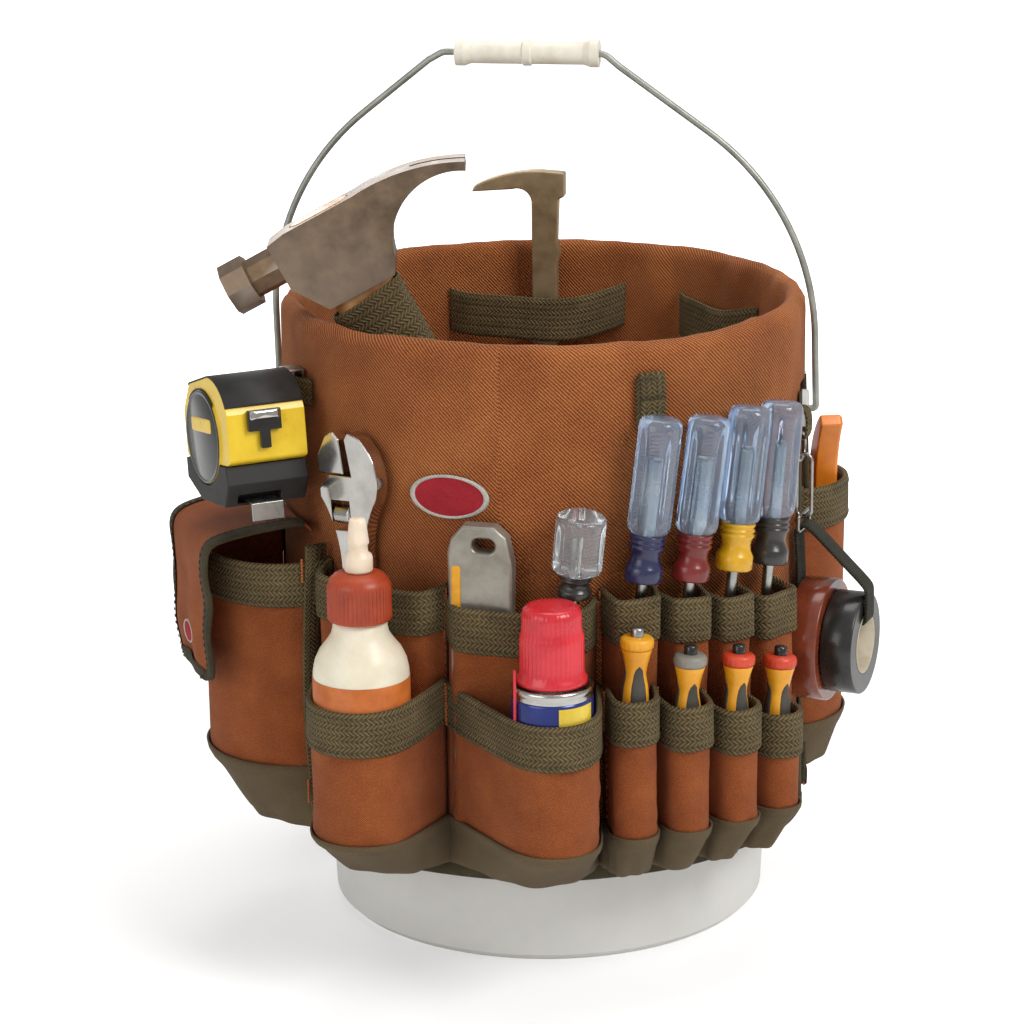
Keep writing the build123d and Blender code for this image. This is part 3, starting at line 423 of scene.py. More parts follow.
# Tightly woven reinforcing canvas at the pockets' feet: matt, nearly without relief
olive_duck = woven("olive duck", "#483b27", "#62523a", "#786749", 1.2, "plain", 0.12, 45.0)
# Narrow grosgrain folded over raw edges: a thin dark outline
olive_tape = woven("olive edge binding", "#2a2517", "#463e29", "#675c40", 1.5, "plain", 0.3, 25.0)
# Ribbed strap, nearly black, with a faint grey sheen painted on its ribs
dark_strap = woven("dark ribbed strap", "#171612", "#2c2b22", "#484636", 1.8, "herringbone", 0.45, 20.0)
# Close satin-stitched thread: a dense red field inside a raised off-white border
badge_red = woven("badge red", "#7a1420", "#a8202c", "#c23a44", 0.8, "plain", 0.08, 15.0)
badge_white = woven("badge white border", "#b9b2a4", "#e2ddd2", "#f6f3ec", 0.9, "twill", 0.2, 10.0)

# Moulded HDPE: warm white, half matt, with a waxy unevenness
pail_white = surface("white HDPE pail", "#e3e1dc", "#dfddd8", (0.34, 0.5), grain=3.0, lift=0.03)
# Zinc-coated wire: a dull greenish grey that never mirrors
galvanised = surface("galvanised bail wire", "#a9aba2", "#8b8d84", (0.34, 0.5), 0.55, grain=1.5, lift=0.02)
# Ivory moulded grip: warmer and smoother than the pail
grip_white = surface("ivory grip", "#efe8d9", "#dcd3c0", (0.38, 0.52), grain=1.2, lift=0.02)
# Sewing threads: matt and fuzzy; rust on the canvas, orange at the bartacks, olive on the webbing
thread_rust = surface("rust thread", "#a85c33", "#874422", (0.6, 0.8), grain=0.4, lift=0.05)
thread_orange = surface("orange bartack thread", "#c26a2c", "#9b4c1f", (0.6, 0.8), grain=0.4, lift=0.06)
thread_olive = surface("olive thread", "#4c4630", "#37321f", (0.6, 0.8), grain=0.4, lift=0.05)

# Forged steel: brown, blotched by the scale left on it, with brighter worn edges
forged = surface("forged hammer steel", "#8a725a", "#54432f", (0.26, 0.48), 0.8, grain=2.2, lift=0.09,
                 edge="#a3968a", mottle=22.0)
# Bronze-tinted bar: satin, with pale edges
bar_steel = surface("titanium bar", "#b59c76", "#8f7856", (0.34, 0.5), 0.7, grain=1.6, lift=0.05,
                    edge="#b5a68f")
# Polished chrome: a near mirror that takes its colours from the cloth round it
chrome = surface("chromed steel", "#d7d4cf", "#bdb8b1", (0.07, 0.16), 1.0, grain=2.5, lift=0.01)
# Drawn bright steel: brushed along its length, softer than chrome
blade_steel = surface("bright steel", "#b9b8b4", "#8f8e8a", (0.2, 0.35), 1.0, stretch=(1, 1, 0.1), lift=0.02)
# Lacquered hickory: honey brown with long grain under a thin gloss
hickory = surface("lacquered hickory", "#c8955a", "#9d6534", (0.3, 0.42), grain=1.6, stretch=(1, 1, 0.08),
                  lift=0.05, coat=0.3)
# Moulded ABS: an even yellow with a soft gloss
case_yellow = surface("yellow ABS case", "#f2cd2e", "#e4ba1c", (0.25, 0.36), grain=0.9, lift=0.015, coat=0.2)
# Overmoulded rubber: charcoal, dry and finely grained
rubber_black = surface("black rubber", "#2b2926", "#1a1917", (0.5, 0.68), grain=0.8, lift=0.07)
# Hard glossy plastic: black with sharp highlights
gloss_black = surface("gloss black plastic", "#22201e", "#161513", (0.16, 0.28), grain=1.2, lift=0.01, coat=0.4)
# Blown polyethylene: cream, with light glowing a little way into it
bottle_cream = surface("cream polyethylene", "#f1e8d2", "#e6dabd", (0.3, 0.42), grain=2.0, lift=0.03,
                       milky=(0.25, 0.006))
# Printed paper: flat orange with only a trace of shine
label_orange = surface("orange paper label", "#cf7330", "#b35a22", (0.35, 0.5), grain=0.6, lift=0.01)
# Coarse moulded cap: brick red and satin
cap_red = surface("red-brown cap", "#b24624", "#96361a", (0.32, 0.46), grain=0.9, lift=0.02)
# Thin milky spout: paler and more see-through than the bottle
nozzle_milky = surface("milky nozzle", "#f3e4cf", "#e9d3b5", (0.28, 0.4), grain=2.0, lift=0.02,
                       milky=(0.5, 0.008))
# Cast zinc: cool grey and slightly pebbled, pale along its edges
knife_grey = surface("cast zinc knife body", "#a39e93", "#857f73", (0.3, 0.45), 0.6, grain=0.7, lift=0.05,
                     edge="#d4cfc4")
# Rubber inlay: warm yellow, matt beside the metal
yellow_inlay = surface("yellow rubber inlay", "#eda91f", "#d6930f", (0.4, 0.55), grain=0.7, lift=0.03)
# Lacquer over tin: deep blue and yellow under a wet gloss, with bare silver at the rim
can_blue = surface("blue lacquered tin", "#27357f", "#1e2b6d", (0.16, 0.26), 0.35, grain=2.0, lift=0.01,
                   coat=0.5)
can_yellow = surface("yellow lacquered tin", "#e6c83c", "#d6b52a", (0.2, 0.3), grain=1.5, lift=0.01, coat=0.4)
can_silver = surface("bare tin rim", "#c9c7c2", "#a9a7a1", (0.16, 0.28), 1.0, grain=1.5, lift=0.01)
# Moulded cap: a bright red whose ribs carry soft highlights
spray_red = surface("red cap plastic", "#e0303c", "#c92430", (0.24, 0.36), grain=1.2, lift=0.015, coat=0.2)
# Clear acetate: the long drivers' is icy blue, the stubby one's is colourless
acetate = clear_plastic("blue-clear acetate", "#c6d5e6", "#a9c0dc")
acetate_clear = clear_plastic("clear acetate", "#dfe3e4", "#c2c8ca")
# Collars: opaque lacquered plastic that tells the four sizes apart
collar_blue = surface("navy collar", "#2b2d55", "#202244", (0.22, 0.34), grain=1.0, lift=0.01, coat=0.3)
collar_red = surface("dark red collar", "#7d2420", "#651a17", (0.22, 0.34), grain=1.0, lift=0.01, coat=0.3)
collar_yellow = surface("yellow collar", "#e3ae1c", "#cc970f", (0.22, 0.34), grain=1.0, lift=0.01, coat=0.3)
collar_grey = surface("black collar", "#33302c", "#24221f", (0.24, 0.36), grain=1.0, lift=0.01, coat=0.3)
# Small drivers: shiny amber with dry grey panels, and a matt coloured head
grip_yellow = surface("yellow driver grip", "#f0aa24", "#dd9413", (0.3, 0.42), grain=0.8, lift=0.02, coat=0.1)
grip_grey = surface("grey soft grip", "#4b463f", "#36322d", (0.5, 0.65), grain=0.6, lift=0.05)
head_grey = surface("grey driver head", "#8f8a80", "#767168", (0.35, 0.5), grain=0.8, lift=0.02)
head_red = surface("red driver head", "#d9482c", "#bd3a20", (0.3, 0.42), grain=0.8, lift=0.02)
# Dipped vinyl: rounded, rubbery orange
snips_orange = surface("orange dipped grip", "#f08a24", "#d97516", (0.3, 0.45), grain=1.2, lift=0.03, coat=0.2)
# Wound vinyl: glossy brown and black, round a dusty card core
vinyl_brown = surface("brown vinyl tape", "#8a4229", "#6b2c1c", (0.18, 0.3), grain=2.0, lift=0.02, coat=0.3)
vinyl_black = surface("black vinyl tape", "#292826", "#1b1a19", (0.22, 0.36), grain=2.0, lift=0.02, coat=0.2)
core_card = surface("beige roll core", "#c9bda6", "#a8987c", (0.5, 0.7), grain=0.7, lift=0.04)


# ================= the canvas body =================
def skirt_radius(z):
    """The skirt's distance from the axis: widest at the hem, drawn in towards the rim."""
    z = np.asarray(z, float)
    upper = WAIST_R + (RIM_R - WAIST_R) * (z - WAIST_Z) / (DROP_Z - WAIST_Z)
    lower = WAIST_R + (HEM_R - WAIST_R) * (WAIST_Z - z) / (WAIST_Z - HEM_Z)
    return np.where(z > WAIST_Z, upper, lower)


def skirt_swell(angle, z):
    """How far the canvas stands proud or sunk: broad slack, puckers under the rim, a seam line."""
    along = angle * PER_DEGREE
    broad = waves(along, z * 0.8, 11, 120, 0.8)
    pucker = waves(along, z * 0.22, 12, 34, 0.6) * np.clip((z - 262) / 70, 0, 1)
    groove = -0.7 * np.exp(-((z - SKIRT_SEAM_Z) / 1.6) ** 2)
    return np.clip(broad, -0.8, 1.2) + pucker + groove


def canvas_body():
    """Skirt, rolled rim and liner as one skin, open at the two slits below the rim."""
    columns = 720
    angle = np.arange(columns) * 360 / columns
    along = angle * PER_DEGREE
    outer = np.concatenate([np.linspace(HEM_Z, 321, 88), np.linspace(324, 362, 14)])
    roll = [(154.2, 365.4), (152.6, 368.3), (149.6, 370.7), (146.3, 370.6), (143.8, 368.0), (143.0, 363.4)]
    inner = [(142.9, 357.0), (142.9, 350.0)]
    inner += [(LINER_TOP_R - 1.4 + (LINER_LOW_R - LINER_TOP_R) * (350 - z) / (350 - LINER_Z), z)
              for z in np.linspace(345, LINER_Z, 34)]
    rows, keep = [], []
    rise = np.clip(waves(along, 0, 16, 150, 0.8) + 1.3, 0.7, 2.4)
    whole = np.ones(columns, bool)
    slit = (np.abs(angle + 0.25 - 90) > SLIT_HALF) & (np.abs(angle + 0.25 - 270) > SLIT_HALF)

    for z in outer:
        r = skirt_radius(z) if z <= DROP_Z else RIM_R
        rows.append(place(angle, r + skirt_swell(angle, z), z + rise * np.clip((z - 330) / 40, 0, 1)))
        keep.append(slit if z < DROP_Z else whole)
    for step, (radius, z) in enumerate(roll + inner):
        inward = np.clip((step - 1) / 5, 0, 1)
        fold = np.clip(waves(along, (370 - z) * 0.35, 14, 42, 1.9), 0.0, 3.2) * inward
        r = radius + skirt_swell(angle, 362.0) * (1 - inward) - fold
        top = rise * np.clip((z - 300) / 60, 0, 1)
        lip = (waves(along, 0, 17, 38, 0.35) + 0.5) * np.clip((z - 350) / 15, 0, 1)
        rows.append(place(angle, r, z + top + lip))
        keep.append(whole)
    points = np.stack(rows)
    run = np.linalg.norm(np.diff(points, axis=0), axis=-1).mean(axis=1)
    run = np.concatenate([[0.0], np.cumsum(run)])
    uv = np.stack(np.meshgrid(angle * math.radians(1) * 155.0, run), axis=-1)
    patch = Patchwork()
    patch.grid(points, uv=uv, keep=np.array(keep), wrap=True)
    body = patch.build("canvas_body", duck_twill, "organizer", "skirt_canvas", thick=CANVAS)
    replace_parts(body, "rim_wrap", "front_skirt", "back_skirt", "liner")


canvas_body()


# ================= pockets =================
def outline(a0, a1, wall, front, held=None, count=45):
    """The pocket's line seen from above, from seam to seam, over its front or round what it holds."""
    mid = math.radians((a0 + a1) / 2)
    across = np.array([math.cos(mid), math.sin(mid)])
    out = np.array([math.sin(mid), -math.cos(mid)])
    inset = min(0.14 * (a1 - a0), 3.2)
    ends = place(np.array([a0, a1]), wall, 0.0)[:, :2]
    if held:
        centre = place(np.array([held[0]]), held[1], 0.0)[0, :2]
        turn = np.linspace(0, 2 * np.pi, 73)[:-1]
        support = centre + held[2] * np.stack([np.cos(turn), np.sin(turn)], axis=1)
    else:
        support = place(np.linspace(a0 + inset, a1 - inset, 25), front, 0.0)[:, :2]
    flat = np.stack([np.concatenate([ends, support]) @ across,
                     np.concatenate([ends, support]) @ out], axis=1)
    hull = []
    for p in flat[np.argsort(flat[:, 0])]:
        while len(hull) > 1:
            a, b = hull[-2], hull[-1]
            if (b[0] - a[0]) * (p[1] - a[1]) - (b[1] - a[1]) * (p[0] - a[0]) >= 0:
                hull.pop()
            else:
                break
        hull.append(p)
    if not np.allclose(hull[0], flat[0]):
        hull.insert(0, flat[0])
    if not np.allclose(hull[-1], flat[1]):
        hull.append(flat[1])
    hull = np.array(hull)
    run = steps_along(hull)
    s = np.linspace(0, run[-1], count)
    line = np.stack([np.interp(s, run, hull[:, k]) for k in range(2)], axis=1)
    for _ in range(5):
        line[1:-1] = line[1:-1] * 0.5 + (line[:-2] + line[2:]) * 0.25
    return line[:, :1] * across + line[:, 1:] * out


def pushed(line, amount):
    """The outline moved outward by an amount."""
    way = np.gradient(line, axis=0)
    normal = np.stack([way[:, 1], -way[:, 0]], axis=1)
    normal /= np.linalg.norm(normal, axis=1, keepdims=True)
    return line + normal * np.reshape(amount, (-1, 1))


cloth_sewing, band_sewing, tacks = Patchwork(), Patchwork(), Patchwork()


def with_height(line, z):
    """The outline lifted to a height, or to one height a point."""
    return np.concatenate([line, np.broadcast_to(np.asarray(z, float), len(line))[:, None]], axis=1)


def pocket(canvas, webbing, bases, a0, a1, top, wall, front, held=None, foot=POCKET_FLOOR,
           foot_front=None, foot_wall=None, base=True, sag=3.0, seed=1, press=None):
    """One pocket: its canvas front, the webbing round its mouth, its foot and its stitching.
    press is the angle of the bottle or can that slides up against it."""
    mouth = outline(a0, a1, wall, front, held)
    low = outline(a0, a1, foot_wall or wall, foot_front or front, held)
    t = np.linspace(-1, 1, len(mouth))
    ease = (1 - t ** 2) ** 0.5
    pressed = np.zeros(len(mouth))
    if press is not None:
        pressed = np.exp(-((t - (2 * press - a0 - a1) / (a1 - a0)) / 0.3) ** 2)
        mouth = pushed(mouth, -2.6 * pressed)
    mouth_z = top - sag * (1 - t ** 2) ** 0.8 + waves(t * 30, 0, seed + 40, 40, 0.5) * (1 - t ** 2)
    rows = []
    for v in np.linspace(0, 1, max(int((top - foot) / 3), 8)):
        z = foot + (mouth_z - foot) * v
        slack = waves(t * 45, z * 0.55, seed, 52, 1.1) + waves(t * 45, z * 1.3, seed + 7, 21, 0.35)
        tug = 0.9 * np.exp(-((np.abs(t) - 0.86) / 0.1) ** 2) * np.sin(z / 7.5 + seed + np.sign(t))
        clear = np.clip((mouth_z - z - BAND) / 22, 0, 1)
        line = pushed(low * (1 - v) + mouth * v, np.clip(slack + tug, -0.3, 2.2) * ease * clear)
        rows.append(with_height(line, z))
    canvas.grid(rows)
    # webbing: up the outside, over the mouth and a little way down inside
    shape = [(1.0, -BAND), (1.25, -BAND + 1), (1.3, -BAND / 2), (1.25, -1.2), (0.7, 0.4), (-0.6, 0.9),
             (-1.9, 0.3), (-2.2, -3.0), (-2.2, -7.0)]
    ripple = waves(t * 45, 0, seed + 3, 46, 0.7) * ease * (1 - pressed)

    def round_mouth(out_by, down):
        """The mouth's line, moved out and down."""
        return with_height(pushed(mouth, out_by + ripple * (0.4 - 0.6 * down / BAND)), mouth_z + down)

    webbing.grid([round_mouth(out_by + 0.6, down) for out_by, down in shape])
    for down in (-BAND + 2.2, -3.0):
        stitches(band_sewing, round_mouth(2.1, down)[1:-1], *WEB_STITCH)
    # a bartack at each end of the mouth
    for end in (1, -2):
        foot_at = with_height(pushed(mouth, 2.3), mouth_z)[end]
        stitches(tacks, foot_at + np.outer(np.linspace(-BAND + 1, 0, 14), [0, 0, 1.0]), *BARTACK)
    if not base:
        return
    # the foot tapers in steps to a flat bottom close to the skirt
    edge = []
    tucked = outline(a0, a1, WALL_R + 1, front, held)
    seam_line = outline(a0, a1, WALL_R + 1, WALL_R + 3.5)
    for v, z in zip(np.linspace(0, 1, 12) ** 0.9, np.linspace(foot + 2.2, BASE_LOW, 12)):
        share = 1 - 0.52 * v ** 1.25
        line = tucked * share + seam_line * (1 - share)
        line = line * min(v * 3, 1) + low * (1 - min(v * 3, 1))
        pleat = waves(t * 40, z * 0.2, seed + 21, 17, 1.5) * v * ease
        edge.append(with_height(pushed(line, 0.9 + pleat), z))
    for share in (0.35, 0.05):
        line = tucked * share * 0.55 + seam_line * (1 - share * 0.55)
        edge.append(with_height(line, BASE_LOW - 1.2))
    bases.grid(edge, flip=True)
    stitches(cloth_sewing, edge[1][1:-1] + [0, 0, -1.4], *EDGE_STITCH)


def seam(a, radius, low, high, count=40):
    """A line of stitching down through the layers at a pocket seam."""
    z = np.linspace(high, low, count)
    stitches(cloth_sewing, place(np.full(count, a), radius, z), *SEAM_STITCH)


upper, sleeves, upper_bands, lower, low_sleeves, lower_bands = (Patchwork() for _ in range(6))
flap_side, flank, back, side_bands, feet = (Patchwork() for _ in range(5))

for a0, a1, top, seed, against in ((LEFT_A, SEAM_A, 237.0, 1, BOTTLE[0]), (SEAM_A, RIGHT_A, 231.0, 2, CAN[0])):
    pocket(upper, upper_bands, None, a0, a1, top, WALL_R, 175.6, foot_front=174.4, base=False,
           seed=seed, sag=4.0, press=against)
for i, top in enumerate((236.0, 232.0, 228.0, 223.0)):
    pocket(sleeves, upper_bands, None, SEAMS_UP[i] + 0.3, SEAMS_UP[i + 1] - 0.3, top, WALL_R, 179.0,
           foot_front=177.0, base=False, seed=5 + i, sag=2.2)
for a0, a1, top, held, seed in ((LEFT_A, SEAM_A, 183.0, BOTTLE, 11), (SEAM_A, RIGHT_A, 181.0, CAN, 12)):
    pocket(lower, lower_bands, feet, a0, a1, top, 163.5, 180.0, held=held, seed=seed, sag=3.5)
for i, (angle, top) in enumerate(zip(SMALL_A, (183.0, 176.0, 169.0, 159.0))):
    pocket(low_sleeves, lower_bands, feet, SEAMS_LOW[i] + 0.3, SEAMS_LOW[i + 1] - 0.3, top, 177.5, 181.0,
           held=(angle - 0.6, SMALL_OUT, 12.6), seed=15 + i, sag=1.6, foot_wall=174.0)
pocket(flap_side, side_bands, feet, -79.6, -43.5, 238.0, WALL_R, 184.0, held=(FLAP_A, 154.0, 56.5), seed=21,
       foot=112.0, sag=3.0)
pocket(flank, side_bands, feet, 100.4, 126.0, 252.0, WALL_R, 178.0, held=(113.2, 140.0, 47.5), seed=22, sag=3.0)
for i, top in enumerate((214.0, 226.0, 214.0, 232.0)):
    a0, a1 = (127.0, 158.0, 202.0, 233.0, 259.6)[i:i + 2]
    pocket(back, side_bands, feet, a0 + 0.3, a1 - 0.3, top, WALL_R, 177.0, held=((a0 + a1) / 2, 140.0, 47.5),
           seed=31 + i, sag=4.0)

CLOTH = (duck_plain, "pocket_canvas", CANVAS)
TAPE = (olive_web, "olive_webbing", WEB)
FOOT = (olive_duck, "olive_canvas", -CANVAS)
for patch, name, stands_for, (mat, slot, thick) in (
        (upper, "upper_pocket_fronts", "upper_pockets", CLOTH),
        (sleeves, "upper_sleeve_fronts", "upper_sleeves", CLOTH),
        (upper_bands, "upper_mouth_webbing", "upper_webbing", TAPE),
        (lower, "lower_pocket_fronts", "lower_pockets", CLOTH),
        (low_sleeves, "lower_sleeve_fronts", "lower_sleeves", CLOTH),
        (lower_bands, "lower_mouth_webbing", "lower_webbing", TAPE),
        (flap_side, "flap_pocket_front", "flap_pocket", CLOTH),
        (flank, "side_pocket_front", "side_pocket", CLOTH),
        (back, "back_pocket_fronts", "back_pockets", CLOTH),
        (side_bands, "side_back_mouth_webbing", "side_back_webbing", TAPE),
        (feet, "pocket_feet", "pocket_bases", FOOT)):
    made = patch.build(name, mat, "organizer", slot, thick=thick)
    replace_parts(made, stands_for)

# seams through the pockets and round the skirt
for a, high in ((LEFT_A, 238.0), (SEAM_A, 234.0), (19.9, 236.0)):
    seam(a, WALL_R + 4.6, BASE_LOW + 4, high)
for a in SEAMS_LOW:
    seam(a, 178.4, 104.0, 158.0)
for a0, a1 in ((-82.5, 82.5), (97.5, 262.5)):
    around = np.linspace(a0, a1, 500)
    for z in (SKIRT_SEAM_Z + 1.4, SKIRT_SEAM_Z - 1.5):
        r = skirt_radius(z) + skirt_swell(around % 360, z) + 0.15
        stitches(cloth_sewing, place(around, r, z), *SKIRT_STITCH)
cloth_sewing.build("canvas_stitching", thread_rust, "organizer")
band_sewing.build("webbing_stitching", thread_olive, "organizer")
tacks.build("bartacks", thread_orange, "organizer")


# ================= bindings and loops =================
def folded_tape(patch, spine, side, depth, thick=1.5):
    """Binding folded over an edge. side holds the ways out from the cloth and onto it."""
    rows = []
    for out_by, over in ((1, depth), (1, depth * 0.4), (0.9, 0.0), (0.0, -0.8), (-0.9, 0.0),
                         (-1, depth * 0.4), (-1, depth)):
        rows.append(spine + side[0] * out_by * thick + side[1] * over)
    patch.grid(rows)


def round_way(a):
    """The way round the pail at an angle off the front."""
    return np.array([math.cos(math.radians(a)), math.sin(math.radians(a)), 0.0])


def hem_and_edges():
    """Folded tape along the hem and up both edges of each slit."""
    hem, edges = Patchwork(), Patchwork()
    for a0, a1 in ((-83.0, 83.0), (97.0, 263.0)):
        around = np.linspace(a0, a1, 420)
        radius = skirt_radius(HEM_Z) + skirt_swell(around % 360, HEM_Z) - 0.4
        spine = place(around, radius, HEM_Z + 0.6)
        outward = place(around, 1.0, 0.0)
        folded_tape(hem, spine, (outward, np.array([0, 0, 1.0])), 9.0)
        stitches(band_hem, place(around, radius + 1.9, HEM_Z + 7.4), *HEM_STITCH)
        for a, way in ((a0, 1), (a1, -1)):
            z = np.linspace(HEM_Z + 2, DROP_Z - 1, 120)
            radius = skirt_radius(z) + skirt_swell(np.full(120, a % 360), z) - 0.5
            spine = place(np.full(120, a), radius, z)
            normal = place(np.full(120, a), 1.0, 0.0)
            folded_tape(edges, spine, (normal, round_way(a) * way), 8.0)
    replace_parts(hem.build("hem_tape", olive_tape, "organizer", "olive_webbing", thick=0.5), "hem_binding")
    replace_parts(edges.build("slit_tape", olive_tape, "organizer", "olive_webbing", thick=0.5), "slit_bindings")


band_hem = Patchwork()
hem_and_edges()


def front_edge():
    """The binding that stands between the flap pocket and the front pockets, with its bartacks."""
    edge_a, low_z, tall, out_r = -42.75, 76, 171, 172.5
    stand, stand_tacks = Patchwork(), Patchwork()
    z = np.linspace(low_z, low_z + tall, 60)
    ridge = out_r + 3.5 * np.sin((z - low_z) / tall * np.pi)
    spine = place(np.full(60, edge_a) + 0.25 * np.sin(z / 30), ridge, z)
    outward = place(np.full(60, edge_a), 1.0, 0.0)
    stand.grid([spine + outward * out_by + round_way(edge_a) * across for out_by, across in
                ((-12, -1.4), (0, -1.5), (1.4, -0.8), (1.4, 0.8), (0, 1.5), (-12, 1.4))], flip=True)
    stand.build("front_edge_binding", olive_web, "organizer", "olive_webbing", thick=0.4)
    for low in (92.0, 226.0):
        path = place(np.full(12, edge_a + 0.25), 177.0, np.linspace(low, low + 16, 12))
        stitches(stand_tacks, path, *BARTACK)
    stand_tacks.build("edge_bartacks", thread_orange, "organizer")


front_edge()
band_hem.build("hem_stitching", thread_olive, "organizer")


def arch(a0, a1, wall, stand_off, count=60):
    """The line of a strip sewn down at both ends and arched between."""
    mid = (a0 + a1) / 2
    half = math.cos(math.radians((a1 - a0) / 2))
    peak = wall + stand_off
    centre_r = (peak ** 2 - wall ** 2) / (2 * (peak - wall * half))
    centre = place(np.array([mid]), centre_r, 0.0)[0, :2]
    start = place(np.array([a0]), wall, 0.0)[0, :2] - centre
    top = place(np.array([mid]), peak, 0.0)[0, :2] - centre
    swing = math.atan2(start[0] * top[1] - start[1] * top[0], start @ top)
    turns = np.linspace(0, 2 * swing, count)
    c, s = np.cos(turns), np.sin(turns)
    return centre + np.stack([start[0] * c - start[1] * s, start[0] * s + start[1] * c], axis=1)


def inner_loops():
    """The webbing slings inside the liner, each sewn down at both ends."""
    for name, a0, a1, low, tall, stand_off, node_name in (
            ("hammer_sling", -76, -6, 318, 30, -69.3, "hammer_loop"),
            ("bar_sling", 168, 214, 320, 27, -36, "bar_loop"),
            ("spare_sling", 122, 152, 320, 27, -14, "spare_loop")):
        pail_r = PAIL_LIP_R - PAIL_TAPER * (PAIL_SHOULDER_Z - low) / PAIL_SHOULDER_Z - PAIL_WALL
        line = arch(a0, a1, pail_r - 0.5 - WEB - 0.6, stand_off)
        t = np.linspace(-1, 1, len(line))
        patch = Patchwork()
        patch.grid([with_height(line, low + tall * v - 3.0 * (1 - t ** 2) + 1.0 * np.sin(t * 5))
                    for v in np.linspace(0, 1, 10)])
        made = patch.build(name, olive_web, "organizer", "olive_webbing")
        thicken(made, WEB)
        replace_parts(made, node_name)


inner_loops()


def outer_loops():
    """The flat loop at the front, the strap's loop and the band that holds the tape measure."""
    patch = Patchwork()

    def flat_loop(a, z, width, height, stand_off, twist=0.0):
        """A flattened ring of webbing sewn on by its back."""
        wall = float(skirt_radius(min(z, DROP_Z))) + 1.3
        turn = np.linspace(0, 2 * np.pi, 40)
        radial = wall + stand_off / 2 + stand_off / 2 * np.cos(turn)
        up = z + (height / 2) * np.sign(np.sin(turn)) * np.abs(np.sin(turn)) ** 0.7
        rows = []
        for side in (-1, -0.33, 0.33, 1):
            skew = twist * (np.cos(turn) + 1) / 2
            offset = side * width / 2 + skew
            rows.append(place(np.full(40, a), radial, up) + offset[:, None] * round_way(a))
        patch.grid(rows)

    front_a = 31.0
    flat_loop(front_a, 341.0, 15.0, 30.0, 1.8, 2.0)
    flat_loop(STRAP_A, 305.0, 9.0, 19.0, 8.8)
    line = arch(-61.0, -49.0, RIM_R + 0.9, 6.2, 30)
    patch.grid([with_height(line, 323 + 16 * v) for v in np.linspace(0, 1, 6)])
    made = patch.build("sewn_loops", olive_web, "organizer", "olive_webbing")
    thicken(made, 1.3)
    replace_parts(made, "web_loops")
    tack = Patchwork()
    for low in (326.5, 353.0):
        for shift in (-0.6, 0.6):
            stitches(tack, place(front_a + np.linspace(-2.2, 2.2, 10), 158.1, low + shift), *LOOP_TACK)
    tack.build("front_loop_tacks", thread_olive, "organizer")


outer_loops()


# ================= badge =================
def oval(axes, half, rings, around, bend=0.0):
    """Rings of an oval patch, as share of its half sizes and height, bent round the pail."""
    patch = Patchwork()
    turn = np.linspace(0, 2 * np.pi, around, endpoint=False)
    rows = []
    for share, lift in rings:
        x, y = half[0] * share * np.cos(turn), half[1] * share * np.sin(turn)
        rows.append(in_axes(axes, np.stack([x, y, lift - x * x * bend], axis=1)))
    patch.grid(rows, wrap=True)
    return patch


def badge():
    """A woven oval with a raised white border, left bare."""
    axes = axes_at(-10.7, float(skirt_radius(287)) + 0.9, 287)
    half, bend = (23.7, 12.7), 1 / (2 * 156.0)
    field = oval(axes, half, ((0.9, 0.6), (0.7, 0.9), (0.35, 1.0), (0.02, 1.0)), 72, bend)
    border = oval(axes, half, ((0.985, -0.2), (1.0, 0.5), (0.97, 1.2), (0.92, 1.35), (0.875, 1.1), (0.86, 0.3)),
                  72, bend)
    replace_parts(field.build("badge_field", badge_red, "organizer", "badge_cloth"), "badge")
    border.build("badge_border", badge_white, "organizer", "badge_cloth")


badge()


